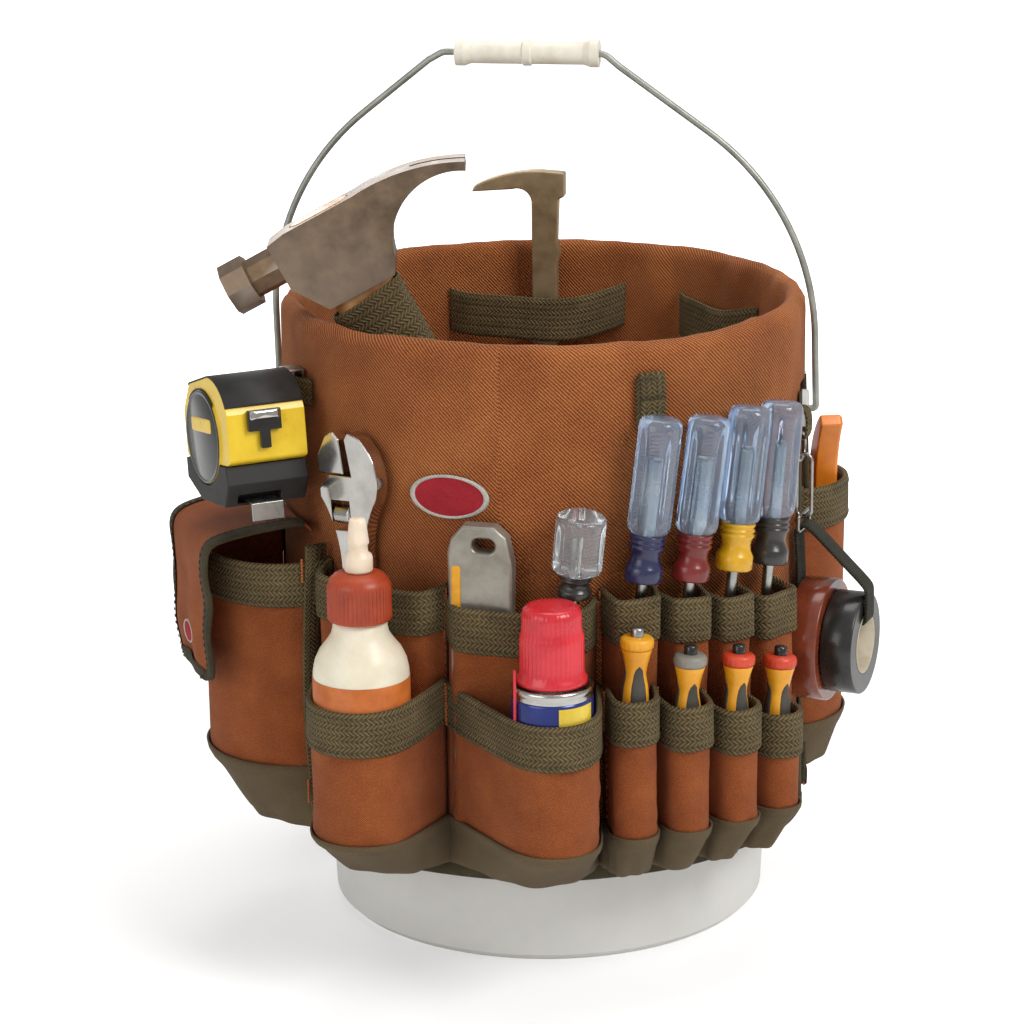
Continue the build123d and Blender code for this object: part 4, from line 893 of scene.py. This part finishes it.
# ================= flap =================
def flap():
    """The pocket's flap: sewn above the pocket, over its mouth and down its front, bound all round."""
    axes = axes_at(FLAP_A, 0.0, 0.0)
    # the way down the middle of the flap, as distance out and height
    path = np.array([(156.6, 250), (158.2, 254.6), (163, 256.4), (176, 256.0), (192, 255.0), (205, 252.6),
                     (213, 250.4), (217.6, 248.0), (219.6, 244.6), (220.4, 240), (220.2, 225), (220.6, 205),
                     (220.0, 185), (219.6, 163.5)])
    half_width, corner = 43.5, 18
    run = steps_along(path)
    s = np.linspace(0, run[-1], 56)
    way = np.stack([np.interp(s, run, path[:, k]) for k in range(2)], axis=1)
    for _ in range(3):
        way[1:-1] = way[1:-1] * 0.5 + (way[:-2] + way[2:]) * 0.25
    x = np.linspace(-1, 1, 41)
    cloth, edge, thread = Patchwork(), Patchwork(), Patchwork()
    rows, rims = [], [[], []]
    for i, (out_by, z) in enumerate(way):
        left = run[-1] - s[i]
        cut = corner - math.sqrt(max(corner ** 2 - (corner - left) ** 2, 0)) if left < corner else 0
        half = half_width - cut
        hang = np.clip((s[i] - 66) / 30, 0, 1)
        across = x * half
        sway = waves(across, s[i], 61, 46, 0.9) * min(s[i] / 20, 1) - 1.6 * (x ** 2) * hang
        lift = waves(across, s[i] * 0.6, 62, 60, 0.7) * (1 - hang)
        pts = np.stack([across, np.full(41, z) + lift, out_by + sway * hang], axis=1)
        rows.append(in_axes(axes, pts))
        if s[i] > 6:
            for k, col in ((0, 0), (1, -1)):
                rims[k].append(rows[-1][col])
    grid = np.stack(rows)
    cloth.grid(grid)
    bottom = grid[-1]
    border = np.concatenate([np.array(rims[0]), bottom[1:-1], np.array(rims[1])[::-1]])
    sides = grid[-len(rims[0]):]
    inward = np.concatenate([sides[:, 5] - sides[:, 0], grid[-7, 1:-1] - bottom[1:-1],
                             (sides[:, -6] - sides[:, -1])[::-1]])
    inward /= np.linalg.norm(inward, axis=1, keepdims=True)
    normal = np.gradient(border, axis=0)
    normal = np.cross(normal, inward)
    normal /= np.linalg.norm(normal, axis=1, keepdims=True)
    # the binding wraps the edge from front to back, with a row of stitches on each face
    edge.grid([border + normal * h + inward * w for h, w in
               ((1.6, 9.0), (1.6, 4.0), (1.4, 0.2), (0, -0.8), (-1.6, 0.2), (-1.6, 4.0), (-1.6, 9.0))])
    for face in (2.0, -2.0):
        stitches(thread, border + normal * face + inward * 7.2, *EDGE_STITCH)
    sheet = cloth.build("pocket_flap_cloth", duck_plain, None, "pocket_canvas")
    thicken(sheet, CANVAS)
    made = [sheet, edge.build("flap_binding", olive_tape, None, "olive_webbing"),
            thread.build("flap_stitching", thread_olive, None)]
    spot, half = axes_at(FLAP_A, 221.6, 186.0), (11, 6.5)
    bare = oval(spot, half, ((0.9, 0.3), (0.6, 0.6), (0.02, 0.6)), 48)
    rim = oval(spot, half, ((1.0, -0.6), (1.0, 0.5), (0.93, 0.9), (0.85, 0.4)), 48)
    bare.build("flap_badge_field", badge_red, "flap", "badge_cloth")
    rim.build("flap_badge_border", badge_white, "flap", "badge_cloth")
    for piece in made:
        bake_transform(piece)
    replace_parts(sheet, "flap_top", "pocket_flap")


flap()


# ================= tools with the frame's own shape, finished =================
def clean_copy(node_name, name, mat, prepare):
    """The frame's shape as one skin, joined where its faces meet and changed by prepare."""
    mesh = nodes[node_name].data.copy()
    mesh.name = name
    spare = mesh.attributes.get("custom_normal")
    if spare:
        mesh.attributes.remove(spare)
    skin = bmesh.new()
    skin.from_mesh(mesh)
    bmesh.ops.remove_doubles(skin, verts=skin.verts, dist=0.01 * MM)
    prepare(skin)
    for face in skin.faces:
        face.smooth = True
    skin.to_mesh(mesh)
    skin.free()
    mesh.materials.clear()
    mesh.materials.append(mat)
    return into_scene(name, mesh)


def without_flat_edges(skin):
    """Leaves out the edges that lie inside flat faces."""
    bmesh.ops.dissolve_limit(skin, angle_limit=math.radians(0.8), verts=skin.verts, edges=skin.edges)


for node_name, name, mat, width, slot in (
        ("hammer_head", "forged_hammer_head", forged, 1.2, "hammer_steel"),
        ("hammer_handle", "hickory_hammer_handle", hickory, 1.2, "handle_wood"),
        ("flat_bar", "claw_bar", bar_steel, 1.1, "bar_steel"),
        ("tape_case", "moulded_tape_case", case_yellow, 2.0, "tape_yellow"),
        ("tape_bumper", "rubber_tape_bumper", rubber_black, 1.8, "tape_rubber"),
        ("tape_belt_clip", "spring_belt_clip", blade_steel, 0.3, "tape_metal"),
        ("tape_hook", "blade_hook", blade_steel, 0.25, "tape_metal"),
        ("tape_lock", "sliding_lock", gloss_black, 0.8, "lock_chrome"),
        ("wrench_frame", "wrench_forging", chrome, 1.5, "wrench_chrome"),
        ("wrench_jaw", "sliding_jaw", chrome, 1.0, "wrench_chrome"),
        ("utility_knife", "cast_knife_body", knife_grey, 1.6, "knife_metal"),
        ("snips_handle", "dipped_snips_handle", snips_orange, 2.6, "snips_plastic")):
    obj = clean_copy(node_name, name, mat, without_flat_edges)
    soften(obj, width)
    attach(obj, nodes[node_name]["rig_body"])
    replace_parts(obj, node_name)

for node_name, mat in (("pail", pail_white), ("bail_wire", galvanised), ("bail_grip", grip_white),
                       ("split_ring", blade_steel), ("snap_clip", blade_steel), ("d_ring", blade_steel)):
    for material_slot in nodes[node_name].material_slots:
        material_slot.material = mat


def turned_on(axes, name, mat, body, slot, profile, around=64, shape=None):
    """One piece turned from (radius, height) pairs. shape(angle, height) scales the radius."""
    turn = np.linspace(0, 2 * np.pi, around, endpoint=False)
    rows = []
    for radius, height in profile:
        r = radius * (shape(turn, height) if shape else 1.0) * np.ones_like(turn)
        rows.append(np.stack([r * np.sin(turn), np.full(around, height), r * np.cos(turn)], axis=1))
    patch = Patchwork()
    patch.grid(in_axes(axes, np.stack(rows)), wrap=True)
    return patch.build(name, mat, body, slot)


def ribs(number, depth, low=-math.inf, high=math.inf):
    """Upright ribs round a turned piece, between two heights."""
    return lambda turn, height: 1 - (depth * (0.5 - 0.5 * np.cos(turn * number))
                                     if low <= height <= high else 0.0)


def rounded_plate(axes, centre, half, round_by, thick, name, mat, body, slot=None, crown=0.0):
    """A plate with rounded corners and a domed face, standing on the axes' face."""
    turn = np.linspace(0, 2 * np.pi, 48, endpoint=False)
    way = np.stack([np.cos(turn), np.sin(turn)], axis=1)
    rim = np.sign(way) * (np.array(half) - round_by) + round_by * way
    top = thick + crown
    rows = [np.concatenate([rim * share + centre[:2], np.full((48, 1), centre[2] + height)], axis=1)
            for share, height in ((1.0, 0.0), (1.0, thick * 0.7), (0.96, thick), (0.6, top),
                                  (0.02, thick + crown * 1.3))]
    patch = Patchwork()
    patch.grid(in_axes(axes, rows), wrap=True)
    return patch.build(name, mat, body, slot)


# ---- screwdrivers: a fluted clear handle over a ringed collar, the steel showing inside ----
HANDLE_R, HANDLE_LONG, COLLAR_TALL = 12.2, 66, 27


def fluting(turn, height):
    """Six hollows down a handle, running out near its ends."""
    full = np.clip(min((height - 31) / 6, (86 - height) / 6), 0, 1)
    return 1 - 0.15 * full * np.clip(np.cos(turn * 6), 0, 1) ** 1.5


def screwdriver(name, axes, clear, collar_mat, scale, shaft, slot):
    """A driver: scale stretches its handle's length and width, and its collar's height and width."""
    long_by, wide_by, collar_by, collar_wide = scale
    lift = COLLAR_TALL * collar_by
    handle = [(4, 27.2), (9.6, 27.4), (11.4, 29)] + [(HANDLE_R, h) for h in (32.5, *np.linspace(35, 82, 9), 87)]
    handle += [(11.7, 90), (10.4, 92), (8.0, 92.9), (0.01, 93.1)]
    profile = [(r * wide_by, lift + (h - COLLAR_TALL) * long_by) for r, h in handle]
    made = turned_on(axes, name + "_handle", clear, name, slot, profile, 96,
                     lambda turn, height: fluting(turn, COLLAR_TALL + (height - lift) / long_by))
    collar = [(3.2, 0), (10.0, 0.1), (10.6, 1.0), (10.6, 7.8), (10.1, 8.8), (8.7, 11.5), (8.2, 14.5),
              (8.7, 17.6), (9.8, 19.4), (9.9, 20.2), (9.0, 21.0), (9.0, 21.7), (9.9, 22.4), (9.9, 23.2),
              (9.0, 24.0), (9.1, 24.8), (9.9, 25.6), (9.7, 27.0), (3.4, 27.1)]
    turned_on(axes, name + "_collar", collar_mat, name, None,
              [(r * collar_wide, h * collar_by) for r, h in collar])
    rod = [(0.01, -shaft), (2.2, -shaft), (3.1, -shaft + 1), (3.1, lift + 40 * long_by),
           (2.4, lift + 44 * long_by), (0.01, lift + 44 * long_by)]
    turned_on(axes, name + "_rod", blade_steel, name, None, rod, 24)
    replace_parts(made, name)


for name, angle, z, lean, collar_mat in (
        ("driver_blue", 27.6, 242.0, 7, collar_blue), ("driver_red", 37.4, 239.0, 8, collar_red),
        ("driver_yellow", 47.4, 240.0, 8, collar_yellow), ("driver_black", 57.2, 237.4, 7, collar_grey)):
    screwdriver(name, axes_at(angle, 170.8, z, lean), acetate, collar_mat, (1.0, 1.0, 1.0, 1.0), 78,
                "clear_blue_plastic")
screwdriver("stubby_driver", axes_at(14.6, 169.8, 236.0, 5, 6), acetate_clear, collar_grey,
            (34 / HANDLE_LONG, 14 / HANDLE_R, 14 / COLLAR_TALL, 0.9), 60, "clear_plastic")


# ---- small drivers: yellow with soft grey panels, a coloured head and a steel button ----
GRIP = [(0.01, -84), (6.6, -84), (7.1, -82.5), (7.6, -54), (7.6, -40), (7.0, -34), (5.9, -28.5), (5.7, -26),
        (6.3, -22), (7.6, -16), (8.5, -12.8), (8.4, -12.2), (0.01, -12.1)]
SMALL_HEAD = [(0.01, -12.0), (8.6, -12.0), (9.5, -10.6), (9.6, -7.8), (9.0, -6.4), (7.8, -5.5), (4.2, -5.2),
              (0.01, -5.2)]
for number, (angle, (top, lean, head)) in enumerate(zip(SMALL_A, (
        (222.0, 2, grip_yellow), (208.0, 3, head_grey), (203.0, 4, head_red), (195.0, 4, head_red))), 1):
    name = f"small_driver_{number}"
    axes = axes_at(angle, SMALL_OUT, top, lean)
    made = turned_on(axes, name + "_grip", grip_yellow, name, "driver_yellow_plastic", GRIP, 48)
    turned_on(axes, name + "_head", head, name, None, SMALL_HEAD, 54, ribs(18, 0.05, -11, -7))
    turned_on(axes, name + "_button", gloss_black if number > 1 else blade_steel, name, None,
              [(3.7, -6), (3.7, -1.2), (3.2, -0.3), (2.2, 0), (0.01, 0)], 28)
    panels = Patchwork()
    heights = np.linspace(-82, -21, 30)
    for middle in (0, 120, 240):
        reach = 40 * np.sqrt(np.clip(1 - np.clip((heights + 36) / 15, 0, 1) ** 2, 0, 1)) + 1.0
        across = np.linspace(-1, 1, 15)
        turn = np.radians(middle + reach[:, None] * across)
        skin = np.interp(heights, [h for r, h in GRIP], [r for r, h in GRIP])[:, None]
        lift = skin + 0.5 - 0.9 * np.abs(across) ** 6
        panels.grid(in_axes(axes, np.stack([lift * np.sin(turn), np.broadcast_to(heights[:, None], turn.shape),
                                            lift * np.cos(turn)], axis=-1)))
    panels.build(name + "_panels", grip_grey, name)
    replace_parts(made, name)

# ---- glue bottle ----
bottle = axes_at(*BOTTLE[:2], 0.0)
made = turned_on(bottle, "blown_glue_bottle", bottle_cream, "glue", "bottle_plastic",
                 [(0.01, 98.5), (23.5, 98.6), (26, 99.8), (27, 102.5), (27, 192), (26.8, 196.5), (25.6, 202.5),
                  (22.8, 208.5), (18.8, 213.6), (16.2, 217.6), (15.3, 221.4), (15.0, 226), (0.01, 226)], 72)
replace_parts(made, "glue_bottle")
turned_on(bottle, "glue_label", label_orange, "glue", None,
          [(27.02, 112), (27.25, 112.4), (27.25, 193.0), (27.02, 193.4)], 96)
made = turned_on(bottle, "ribbed_glue_cap", cap_red, "glue", "cap_plastic",
                 [(0.01, 226.2), (17.4, 226.2), (18, 227)] + [(18, h) for h in np.linspace(228, 245, 8)]
                 + [(17.3, 246.6), (16.6, 248.6), (14.2, 251.2), (10.4, 252.8), (7, 253.2), (0.01, 253.2)],
                 180, ribs(45, 0.05, 228, 245))
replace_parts(made, "glue_cap")
made = turned_on(bottle, "glue_spout", nozzle_milky, "glue", "nozzle_plastic",
                 [(0.01, 253.4), (7.6, 253.4), (8.0, 254.6), (8.0, 261), (7.5, 262.6), (5.6, 264.2), (5.2, 268),
                  (6.2, 269.4), (6.0, 271.5), (4.9, 280), (4.5, 282.8), (3.4, 283.4), (0.01, 283.4)], 40)
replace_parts(made, "glue_nozzle")

# ---- spray can ----
can = axes_at(*CAN[:2], 0.0)
made = turned_on(can, "lacquered_can", can_blue, "can", "can_blue",
                 [(0.01, 98.5), (21.6, 98.5), (22.7, 99.6), (22.8, 102), (22.8, 188), (22.2, 189.6),
                  (0.01, 190)], 80)
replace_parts(made, "spray_can")
turned_on(can, "can_rim", can_silver, "can", None,
          [(22.0, 189.0), (22.6, 189.8), (21.9, 190.9), (22.4, 192.2), (22.8, 193.6), (22.6, 195.2),
           (21.6, 196), (20.4, 195.4), (20.0, 193.6), (0.01, 193.6)], 80)
panel = Patchwork()
turn = np.radians(np.linspace(8, 66, 20))[None, :] * np.ones((4, 1))
height = np.array([158.0, 158.3, 187.0, 187.3])[:, None] * np.ones((1, 20))
radius = np.array([22.82, 22.92, 22.92, 22.82])[:, None]
panel.grid(in_axes(can, np.stack([radius * np.sin(turn), height, radius * np.cos(turn)], axis=-1)))
panel.build("can_yellow_panel", can_yellow, "can")
straw = Patchwork()
curve_pipe(straw, in_axes(can, np.array([[-20.6, h, 12.4] for h in np.linspace(172, 207, 12)])), 0.9, 14)
straw.build("can_straw", spray_red, "can")
made = turned_on(can, "ribbed_spray_cap", spray_red, "can_cap", "can_red_plastic",
                 [(0.01, 196.3), (19.0, 196.3), (19.5, 197), (19.5, 199), (18.6, 200.4), (18.0, 202.4)]
                 + [(17.9, h) for h in np.linspace(204, 221, 6)]
                 + [(17.5, 223.5), (16.9, 225.2), (16.7, 228)] + [(16.6, h) for h in np.linspace(229, 235, 4)]
                 + [(15.6, 238.2), (13.6, 239.8), (10, 240), (0.01, 240)], 160, ribs(40, 0.035, 203.5, 236))
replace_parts(made, "spray_cap")

# ---- wrench screw, knurled ----
wrench = axes_at(-32.5, 163.3, 284.0, -6)
start = in_axes(wrench, np.array([[-12.4, -14.0, 0.0]]))[0]
screw_axes = (start, wrench[2], wrench[1], -wrench[3])
made = turned_on(screw_axes, "knurled_screw", chrome, "worm", "wrench_chrome",
                 [(0.01, 0), (3.6, 0)] + [(5.4 if k % 2 else 4.4, 0.6 + k * 0.72) for k in range(17)]
                 + [(3.6, 12.8), (0.01, 12.8)], 60, ribs(20, 0.04))
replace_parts(made, "wrench_worm")

# ---- tape measure: round badge plate, lock's bright bar and rubber over the top ----
tape = axes_at(-55.0, 190.0, 307.0, -8)
disc_axes = (in_axes(tape, np.array([[-4.0, 1.0, 0.0]]))[0], tape[1], tape[3], -tape[2])
turned_on(disc_axes, "tape_disc", gloss_black, "tape_measure", "tape_rubber",
          [(26.8, 23.6), (26.9, 24.6), (26.2, 25.0), (25.2, 24.8), (24.6, 24.5), (24.2, 24.7),
           (0.01, 24.8)], 72)
rounded_plate(tape, (-4.0, 8.0, 24.75), (16.0, 4.0), 2.0, 0.35, "disc_yellow_bar", case_yellow, "tape_measure")
lock_axes = (in_axes(tape, np.array([[36.4, 0.0, 2.0]]))[0], -tape[3], tape[2], tape[1])
rounded_plate(lock_axes, (0.0, 15.0, 3.4), (9.0, 2.4), 1.2, 0.7, "lock_bright_bar", chrome, "lock_button",
              crown=0.3)


def upper_sides_only(skin):
    """Leaves the case's faces above the badge plate, without its two flat sides."""
    origin, _, up, face = (Vector(v) for v in tape)
    lower = [f for f in skin.faces
             if (f.calc_center_median() / MM - origin).dot(up) <= 20 or abs(f.normal.dot(face)) >= 0.9]
    bmesh.ops.delete(skin, geom=lower, context="FACES")


# the bumper's upper half: the case's own top, covered by a layer of rubber
rubber_top = clean_copy("tape_case", "rubber_tape_top", rubber_black, upper_sides_only)
thicken(rubber_top, 0.9, 1.0)
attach(rubber_top, "tape_measure")

# ---- the knife's rubber side ----
knife = axes_at(-3.0, 165.3, 275.0, 0.5)
rounded_plate(knife, (-13.4, -40.0, 5.2), (2.6, 17.0), 2.0, 0.9, "knife_yellow_side", yellow_inlay,
              "knife", crown=0.3)

# ---- rolls of tape on the strap ----
ROLL_Z, ROLL_THICK = 176.0, 19.0
hang = axes_at(STRAP_A, 0.0, ROLL_Z)
roll_axes = (hang[0], hang[1], hang[3], -hang[2])
for name, back, outer, mat, slot in (("brown_tape", 163.0, 36.0, vinyl_brown, "brown_roll_tape"),
                                     ("black_tape", 182.5, 30.0, vinyl_black, "black_roll_tape")):
    front = back + ROLL_THICK
    # wound layers show on both sides as fine steps
    steps = np.arange(18.0, outer - 0.8, 0.9)
    wound = [(r, back + 0.1 + 0.14 * (k % 2)) for k, r in enumerate(steps)]
    wound += [(outer - 0.5, back + 0.2), (outer, back + 0.8), (outer, front - 0.8), (outer - 0.5, front - 0.2)]
    wound += [(r, front - 0.1 - 0.14 * (k % 2)) for k, r in reversed(list(enumerate(steps)))]
    body = nodes[name]["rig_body"]
    made = turned_on(roll_axes, name + "_winding", mat, body, slot, wound + wound[:1], 96)
    turned_on(roll_axes, name + "_core", core_card, body, None,
              [(16.5, back), (16.5, front), (17.9, front), (17.9, back), (16.5, back)], 72)
    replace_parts(made, name)


def tape_strap():
    """The ribbed strap round both rolls and over the D-ring."""
    half = 7.0
    path = np.array([(160.8, 188.4), (204.0, 188.4), (204.0, 210.0), (166.2, 245.8), (159.0, 245.8),
                     (160.8, 216.0)])
    middle = path.mean(axis=0)
    path = path + np.sign(middle - path) * 0.7
    loop = []
    for k in range(len(path)):
        a, b = path[k], path[(k + 1) % len(path)]
        run = np.linalg.norm(b - a)
        loop += [a + (b - a) * s for s in (2.0 / run, 0.35, 0.65, 1 - 2.0 / run)]
    loop = np.array(loop)
    for _ in range(2):
        ahead = np.roll(loop, -1, axis=0)
        loop = np.stack([loop * 0.75 + ahead * 0.25, loop * 0.25 + ahead * 0.75], axis=1).reshape(-1, 2)
    loop = np.concatenate([loop, loop[:1]])
    patch = Patchwork()
    patch.grid([in_axes(hang, np.stack([np.full(len(loop), x), loop[:, 1] - ROLL_Z, loop[:, 0]], axis=1))
                for x in np.linspace(-half, half, 5)])
    made = patch.build("ribbed_tape_strap", dark_strap, "tape_hanger", "strap_olive")
    thicken(made, WEB)
    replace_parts(made, "tape_strap")


tape_strap()


def hammer_wrap():
    """Where the sling's webbing goes round the handle, close under the head."""
    lean, yaw = math.radians(28), math.radians(10)
    head = Vector((math.cos(lean) * math.cos(yaw), math.cos(lean) * math.sin(yaw), math.sin(lean)))
    side = Vector((math.sin(yaw), -math.cos(yaw), 0))
    up = side.cross(head)
    axes = (Vector((-108, -80, 417)), head, up, side)
    turn = np.linspace(0, 2 * np.pi, 72, endpoint=False)
    rows = []
    for down in np.linspace(-92, -38, 16):
        ripple = waves(turn * 12, down, 71, 30, 0.35)
        x = (21.4 + ripple) * np.sign(np.cos(turn)) * np.abs(np.cos(turn)) ** 0.8
        y = (13.2 + ripple) * np.sign(np.sin(turn)) * np.abs(np.sin(turn)) ** 0.8
        rows.append(in_axes(axes, np.stack([x, down + 0.10 * x, y], axis=1)))
    patch = Patchwork()
    patch.grid(rows, wrap=True)
    patch.build("sling_round_handle", olive_web, "organizer", "olive_webbing", thick=WEB)


hammer_wrap()


# ================= floor, light and camera =================
def stage():
    """A pale floor that keeps the shadow, soft lamps and the camera."""
    floor_mat, tree, shader = new_material("pale floor")
    spot = node(tree, "TexCoord").outputs["Object"]
    cloud = node(tree, "TexNoise", Vector=spot, Scale=3.0, Detail=2.0).outputs["Fac"]
    pale = node(tree, "ValToRGB", {"stops": ((0.3, "#f4f4f3"), (0.7, "#f7f7f7"))}, cloud)
    path = node(tree, "LightPath").outputs
    seen = node(tree, "Math", {"operation": "MAXIMUM"}, path["Is Camera Ray"], path["Is Transmission Ray"])
    # the floor goes to plain white away from the pail
    reach = node(tree, "VectorMath", {"operation": "LENGTH"}, spot).outputs["Value"]
    white = node(tree, "MapRange", Value=reach, From_Min=0.45, From_Max=1.1, To_Min=0.3, To_Max=1.0)
    glow = node(tree, "Math", {"operation": "MULTIPLY"}, seen, white.outputs["Result"])
    feed(tree, shader, {"Roughness": 0.9, "Base Color": pale.outputs["Color"],
                        "Emission Color": (1, 1, 1, 1), "Emission Strength": glow.outputs[0]})
    mesh = bpy.data.meshes.new("floor")
    n = 24
    side = np.linspace(-6, 6, n)
    gx, gy = np.meshgrid(side, side)
    verts = np.stack([gx, gy, np.zeros_like(gx)], axis=-1).reshape(-1, 3)
    corners = [i * n + j for i in range(n - 1) for j in range(n - 1)]
    faces = [(k, k + 1, k + n + 1, k + n) for k in corners]
    mesh.from_pydata(verts.tolist(), [], faces)
    mesh.materials.append(floor_mat)
    into_scene("floor", mesh)

    world = bpy.data.worlds.new("studio")
    bpy.context.scene.world = world
    world.use_nodes = True
    sky = world.node_tree
    back = sky.nodes["Background"]
    rays = node(sky, "LightPath").outputs
    seen = node(sky, "Math", {"operation": "MAXIMUM"}, rays["Is Camera Ray"], rays["Is Transmission Ray"])
    level = node(sky, "MapRange", Value=seen, To_Min=0.45, To_Max=1.0).outputs["Result"]
    feed(sky, back, {"Color": (1, 1, 1, 1), "Strength": level})

    def lamp(name, spot_at, aim, size, power):
        """A soft rectangular lamp aimed at a point."""
        data = bpy.data.lights.new(name, "AREA")
        data.shape = "RECTANGLE"
        data.size, data.size_y = size
        data.energy = power
        obj = into_scene(name, data)
        obj.location = spot_at
        obj.rotation_euler = (Vector(aim) - Vector(spot_at)).to_track_quat("-Z", "Y").to_euler()

    lamp("key", (1.5, -0.9, 1.7), (0, 0, 0.25), (0.9, 0.9), 27)
    lamp("fill", (-1.3, -1.9, 1.0), (0, 0, 0.22), (1.6, 1.2), 12)
    lamp("top", (0.1, 0.5, 2.0), (0, 0, 0.3), (1.2, 1.2), 14)
    lamp("rear", (-0.9, 1.8, 0.9), (0, 0, 0.2), (1.2, 1.0), 9)

    # the camera stands ten degrees to the right of the badge's side and looks down a little
    pitch, roll, azimuth = math.radians(16.04), math.radians(-0.70), math.radians(10.0)
    forward = Vector((-math.sin(azimuth) * math.cos(pitch), math.cos(azimuth) * math.cos(pitch),
                      -math.sin(pitch)))
    right = forward.cross(Vector((0, 0, 1))).normalized()
    up = right.cross(forward)
    tilted_right = right * math.cos(roll) + up * math.sin(roll)
    tilted_up = up * math.cos(roll) - right * math.sin(roll)
    data = bpy.data.cameras.new("camera")
    data.lens, data.sensor_width = 116.3, 36.0
    data.clip_start, data.clip_end = 0.1, 50.0
    camera = into_scene("camera", data)
    turn = Matrix((tilted_right, tilted_up, -forward)).transposed().to_4x4()
    camera.matrix_world = Matrix.Translation(Vector((0.3125, -1.8883, 0.7859))) @ turn
    bpy.context.scene.camera = camera
    bpy.context.scene.view_settings.view_transform = "Standard"


stage()
